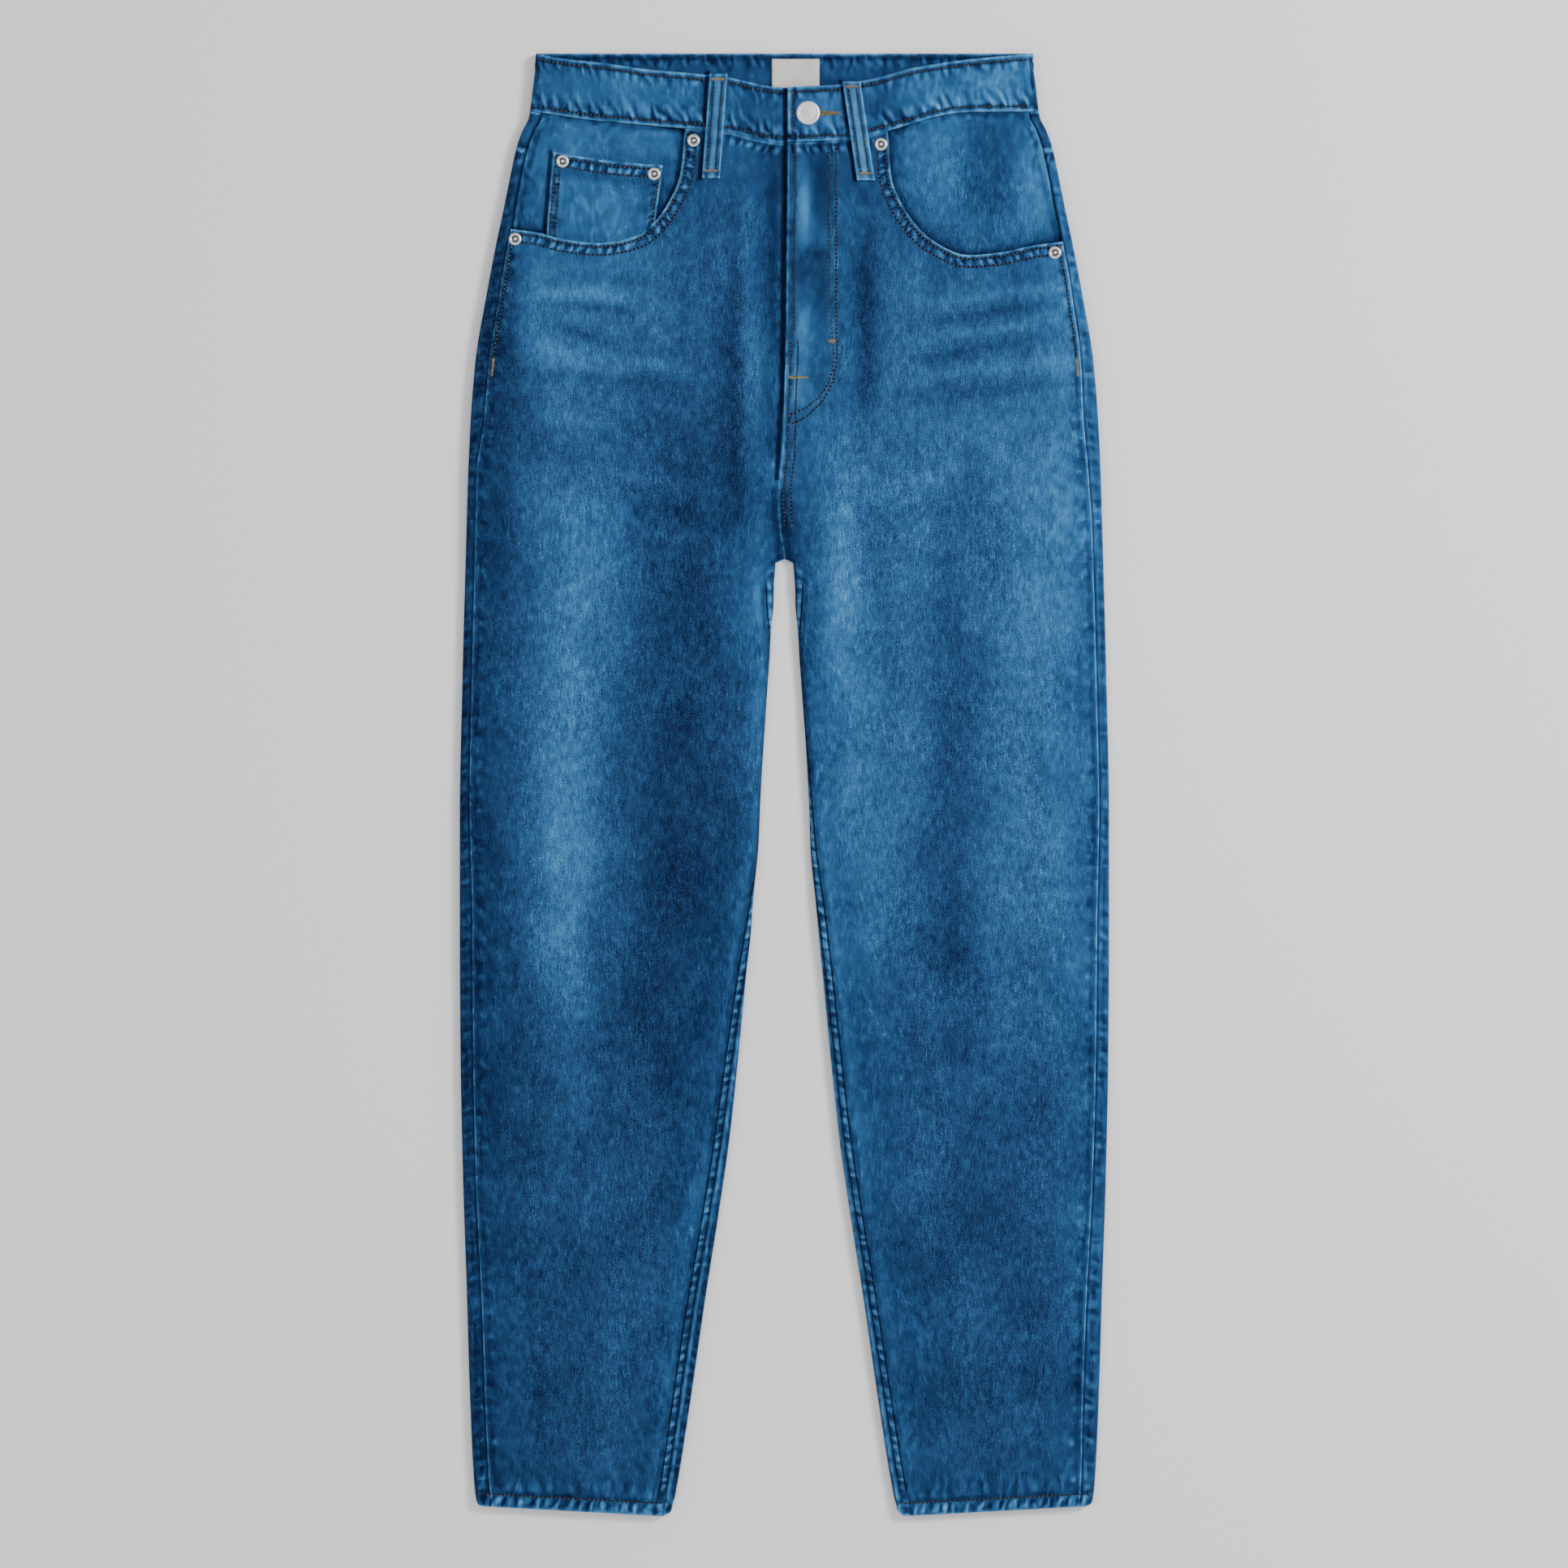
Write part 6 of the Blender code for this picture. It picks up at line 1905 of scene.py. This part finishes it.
@dataclass
class Studio:
    """Pale floor, soft lights and the camera straight above."""

    frame_width: float = 1.1252
    centre: tuple[float, float] = (-0.0003, 0.0005)
    lens: float = 100.0

    def build(self) -> None:
        """Set the stage."""
        self.floor()
        self.light("key_light", (2.3, 1.1, 1.9), 0.8, 78.0)
        self.light("fill_light", (-1.7, -0.6, 2.6), 2.2, 12.0)
        self.light("low_light", (0.4, -2.2, 2.4), 2.0, 9.0)
        world = bpy.data.worlds.new("studio")
        world.use_nodes = True
        sky = world.node_tree.nodes["Background"]
        NodeKit.fill(sky, Color=(1.0, 1.0, 1.0, 1.0), Strength=0.66)
        bpy.context.scene.world = world
        self.camera()

    def floor(self) -> None:
        """Make the pale floor."""
        shape = bmesh.new()
        bmesh.ops.create_grid(shape, x_segments=2, y_segments=2, size=6.0)
        bmesh.ops.translate(shape, verts=shape.verts[:], vec=(0, 0, -0.0004))
        floor = as_object(shape, "floor")
        paint = bpy.data.materials.new("pale_floor")
        paint.use_nodes = True
        shader = paint.node_tree.nodes["Principled BSDF"]
        shader.inputs["Base Color"].default_value = (0.98, 0.98, 0.98, 1.0)
        shader.inputs["Roughness"].default_value = 0.9
        floor.data.materials.append(paint)

    @staticmethod
    def light(name: str, place: tuple[float, float, float], size: float, power: float) -> None:
        """Add one soft square light aimed at the middle of the garment."""
        data = bpy.data.lights.new(name, "AREA")
        data.shape, data.size, data.energy = "SQUARE", size, power
        lamp = bpy.data.objects.new(name, data)
        lamp.location = place
        lamp.rotation_euler = (-Vector(place)).to_track_quat("-Z", "Y").to_euler()
        bpy.context.scene.collection.objects.link(lamp)

    def camera(self) -> None:
        """Add the camera, looking straight down at the photograph's framing."""
        data = bpy.data.cameras.new("camera")
        data.lens, data.sensor_width = self.lens, 36.0
        height = self.frame_width * self.lens / data.sensor_width
        data.clip_end = 20.0
        camera = bpy.data.objects.new("camera", data)
        camera.location = (*self.centre, height + 0.006)
        bpy.context.scene.collection.objects.link(camera)
        bpy.context.scene.camera = camera


def finishes() -> dict[str, bpy.types.Material]:
    """Build each material once."""
    twill_group()
    seam_group()
    line_group()
    rope_group()
    # Painted shadows: dark lines on the cloth just left of each front belt loop.
    loop_shadows = rows_of(
        ShadeLine, ((-55.2, 13.0), (-60.8, 91.0), 2.6, -0.46), ((40.4, 19.0), (50.8, 92.0), 2.6, -0.46),
    )
    # Painted shadows: a dark line along the fly's overlapping edge and below it, and a softer dark band to
    # its left.
    fly_shadows = rows_of(
        ShadeLine, ((0.7, 60.0), (-1.6, 252.0), 3.0, -0.58), ((-2.0, 250.0), (-5.2, 306.0), 3.0, -0.50),
        ((-7.0, 66.0), (-9.0, 290.0), 9.0, -0.12),
    )
    # Painted shadows on the waistband beside the overlap's end: a dark line and a softer band to its left.
    band_end_shadows = rows_of(
        ShadeLine, ((0.5, 24.0), (0.5, 66.0), 2.6, -0.50), ((-5.0, 24.0), (-5.0, 66.0), 8.0, -0.12),
    )
    # Painted shadows on the right pocket facing beside the coin pocket's two ends.
    pocket_shadows = rows_of(
        ShadeLine,
        ((-168.0, 70.0), (-173.4, 138.0), 2.2, -0.46), ((-86.0, 80.0), (-93.6, 126.0), 3.4, -0.10),
    )
    # Painted shade along the coin pocket's outer side edge.
    coin_edge_shadow = rows_of(ShadeLine, ((-167.0, 69.0), (-172.6, 140.0), 1.4, -0.40))
    hem_ropes = rows_of(
        RopeLook, ("to_hem", "x", 8.2, -0.35, 4.6, 4.6, 0.36), ("to_hem", "x", 9.0, 0.0, 17.0, 9.0, 0.13),
    )
    front_ropes = hem_ropes + rows_of(
        RopeLook, ("to_leg", "y", 8.0, 0.4, 4.8, 4.2, 0.24), ("to_side", "y", 15.0, 0.3, 6.0, 4.0, 0.12),
        ("to_top", "arc", 6.8, 0.3, 5.4, 3.6, 0.30),
    )
    back_ropes = hem_ropes + rows_of(
        RopeLook, ("to_leg", "y", 8.4, 0.4, 5.0, 4.4, 0.20), ("to_side", "y", 9.5, 0.4, 5.0, 5.0, 0.13),
        ("to_top", "x", 8.0, 0.4, 6.0, 4.5, 0.22),
    )
    band_ropes = rows_of(
        RopeLook, ("to_foot", "x", 9.4, 0.55, 7.5, 8.5, 0.26), ("to_foot", "x", 5.3, 0.2, 5.0, 4.0, 0.14),
        ("to_top", "x", 8.2, -0.4, 6.0, 5.0, 0.18),
    )
    coin_ropes = rows_of(
        RopeLook, ("to_top", "x", 6.8, 0.3, 6.1, 3.6, 0.34), ("to_side", "y", 7.4, 0.3, 4.2, 3.4, 0.20),
    )
    patch_ropes = rows_of(
        RopeLook, ("to_top", "x", 7.6, 0.3, 8.0, 7.0, 0.26), ("to_side", "y", 7.6, 0.3, 5.2, 4.2, 0.22),
    )
    # The strip's look has a minus crest: a painted shadow line in the side seam's gap.
    side, strip, inner, top, hem, patch = rows_of(
        SeamLook,
        ("to_side", 0.46, 1.6, 0.14, 4.0, 0.22, 12.0), ("to_side", -0.34, 2.0, 0.10, 5.0, 0.30, 14.0),
        ("to_inner", 0.40, 1.5, 0.14, 4.0, 0.24, 12.0), ("to_top", 0.44, 2.3, 0.14, 2.9, 0.30, 13.0),
        ("to_hem", 0.36, 1.9, 0.22, 10.6, 0.24, 16.0), ("to_side", 0.36, 2.0, 0.18, 4.0, 0.26, 9.0),
    )
    band = rows_of(
        SeamLook,
        ("to_top", 0.46, 1.9, 0.22, 3.8, 0.30, 12.0), ("to_foot", 0.48, 1.8, 0.24, 3.8, 0.34, 13.0),
        ("to_end", 0.45, 2.6, 0.3, 4.5, 0.2, 8.0),
    )
    facing = rows_of(SeamLook, ("to_side", 0.2, 1.6, 0.2), ("to_top", 0.0, 1.5, 0.2, 2.0, 0.3, 12.0))
    coin_top, patch_top, yoke_foot = rows_of(
        SeamLook, ("to_top", 0.44, 2.4, 0.16, 3.2, 0.34, 12.0), ("to_top", 0.44, 2.2, 0.25, 5.0, 0.3, 12.0),
        ("to_hem", 0.3, 2.0, 0.2),
    )
    loop = rows_of(
        SeamLook, ("to_side", 0.34, 1.6, 0.24, 2.9, 0.1, 4.0), ("to_end", 0.3, 1.6, 0.2, 4.0, 0.1, 4.0),
    )
    front = (side, inner, top, hem)
    made = {
        "front_right": DenimFinish("denim_front_right", front, loop_shadows + fly_shadows, front_ropes),
        "front_left": DenimFinish("denim_front_left", front, loop_shadows, front_ropes),
        "back": DenimFinish("denim_back_panel", (strip, inner, top, hem), (), back_ropes),
        "yoke": DenimFinish("denim_yoke", (strip, inner, top, yoke_foot)),
        "band": DenimFinish("denim_waistband", band, loop_shadows + band_end_shadows, band_ropes),
        "facing": DenimFinish("denim_facing", facing, pocket_shadows),
        "coin": DenimFinish("denim_coin_pocket", (coin_top, patch), coin_edge_shadow, coin_ropes),
        "pocket": DenimFinish("denim_back_pocket", (patch, patch_top), (), patch_ropes),
        "loop": DenimFinish("denim_loop", loop, turn=8.0),
        "metal": MetalFinish("worn_nickel", (0.76, 0.78, 0.76), (0.05, 0.055, 0.055), 0.36),
        "button": MetalFinish("pale_nickel", (1.0, 1.0, 0.99), (0.62, 0.62, 0.61), 0.46),
        "label": WovenFinish("woven_cream", (0.74, 0.73, 0.70), (0.52, 0.51, 0.48)),
        "zip": WovenFinish("zip_tape", (0.03, 0.04, 0.07), (0.015, 0.02, 0.035), 1.2),
    }
    return {key: finish.material() for key, finish in made.items()}


def main() -> None:
    """Build the garment over its solids, dress it and set the stage."""
    logging.basicConfig(level=logging.INFO, format="%(name)s %(message)s")
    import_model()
    Studio().build()
    looks = finishes()
    for side in Side:
        word = side.word
        Front(side, looks[f"front_{word}"]).build()
        Back(side, looks["back"]).build()
        Yoke(side, looks["yoke"]).build()
        FrontPocket(side, looks["facing"]).build()
    patches = [BackPocket(side, looks["pocket"]) for side in Side]
    for patch in patches:
        patch.build()
    Waistband(looks["band"]).build()
    coin = CoinPocket(looks["coin"])
    coin.build()
    Label(looks["label"]).build()
    loops = [
        BeltLoop("belt_loop_front_right", (-47.2, 15.4), (-52.7, 90.0), looks["loop"]),
        BeltLoop("belt_loop_front_left", (48.0, 21.0), (58.4, 91.5), looks["loop"]),
        BeltLoop("belt_loop_back_right", (-98.0, 1.0), (-98.0, 74.0), looks["loop"], False),
        BeltLoop("belt_loop_back_centre", (0.0, 1.0), (0.0, 74.0), looks["loop"], False),
        BeltLoop("belt_loop_back_left", (98.0, 1.0), (98.0, 74.0), looks["loop"], False),
    ]
    for loop in loops:
        loop.build()
    for node, x, drop, base in RIVET_PLACES:
        RoundMetal(node, x, drop, base, RIVET_PROFILE, looks["metal"]).build()
    RoundMetal("tack_button", BUTTON_X, BUTTON_DROP, 7.6, BUTTON_PROFILE, looks["button"], 64).build()
    bpy.data.objects["fly_zip"].material_slots[0].material = looks["zip"]
    needle = Needle()
    rows = Topstitching(needle, coin, patches)
    rows.fly()
    rows.pockets()
    needle.finish("front_topstitch", "denim")
    rows.waistband()
    rows.loops(loops)
    needle.finish("waist_topstitch", "denim")
    rows.seams()
    needle.finish("seam_topstitch", "denim")
    bpy.context.view_layer.update()


if __name__ == "__main__":
    main()
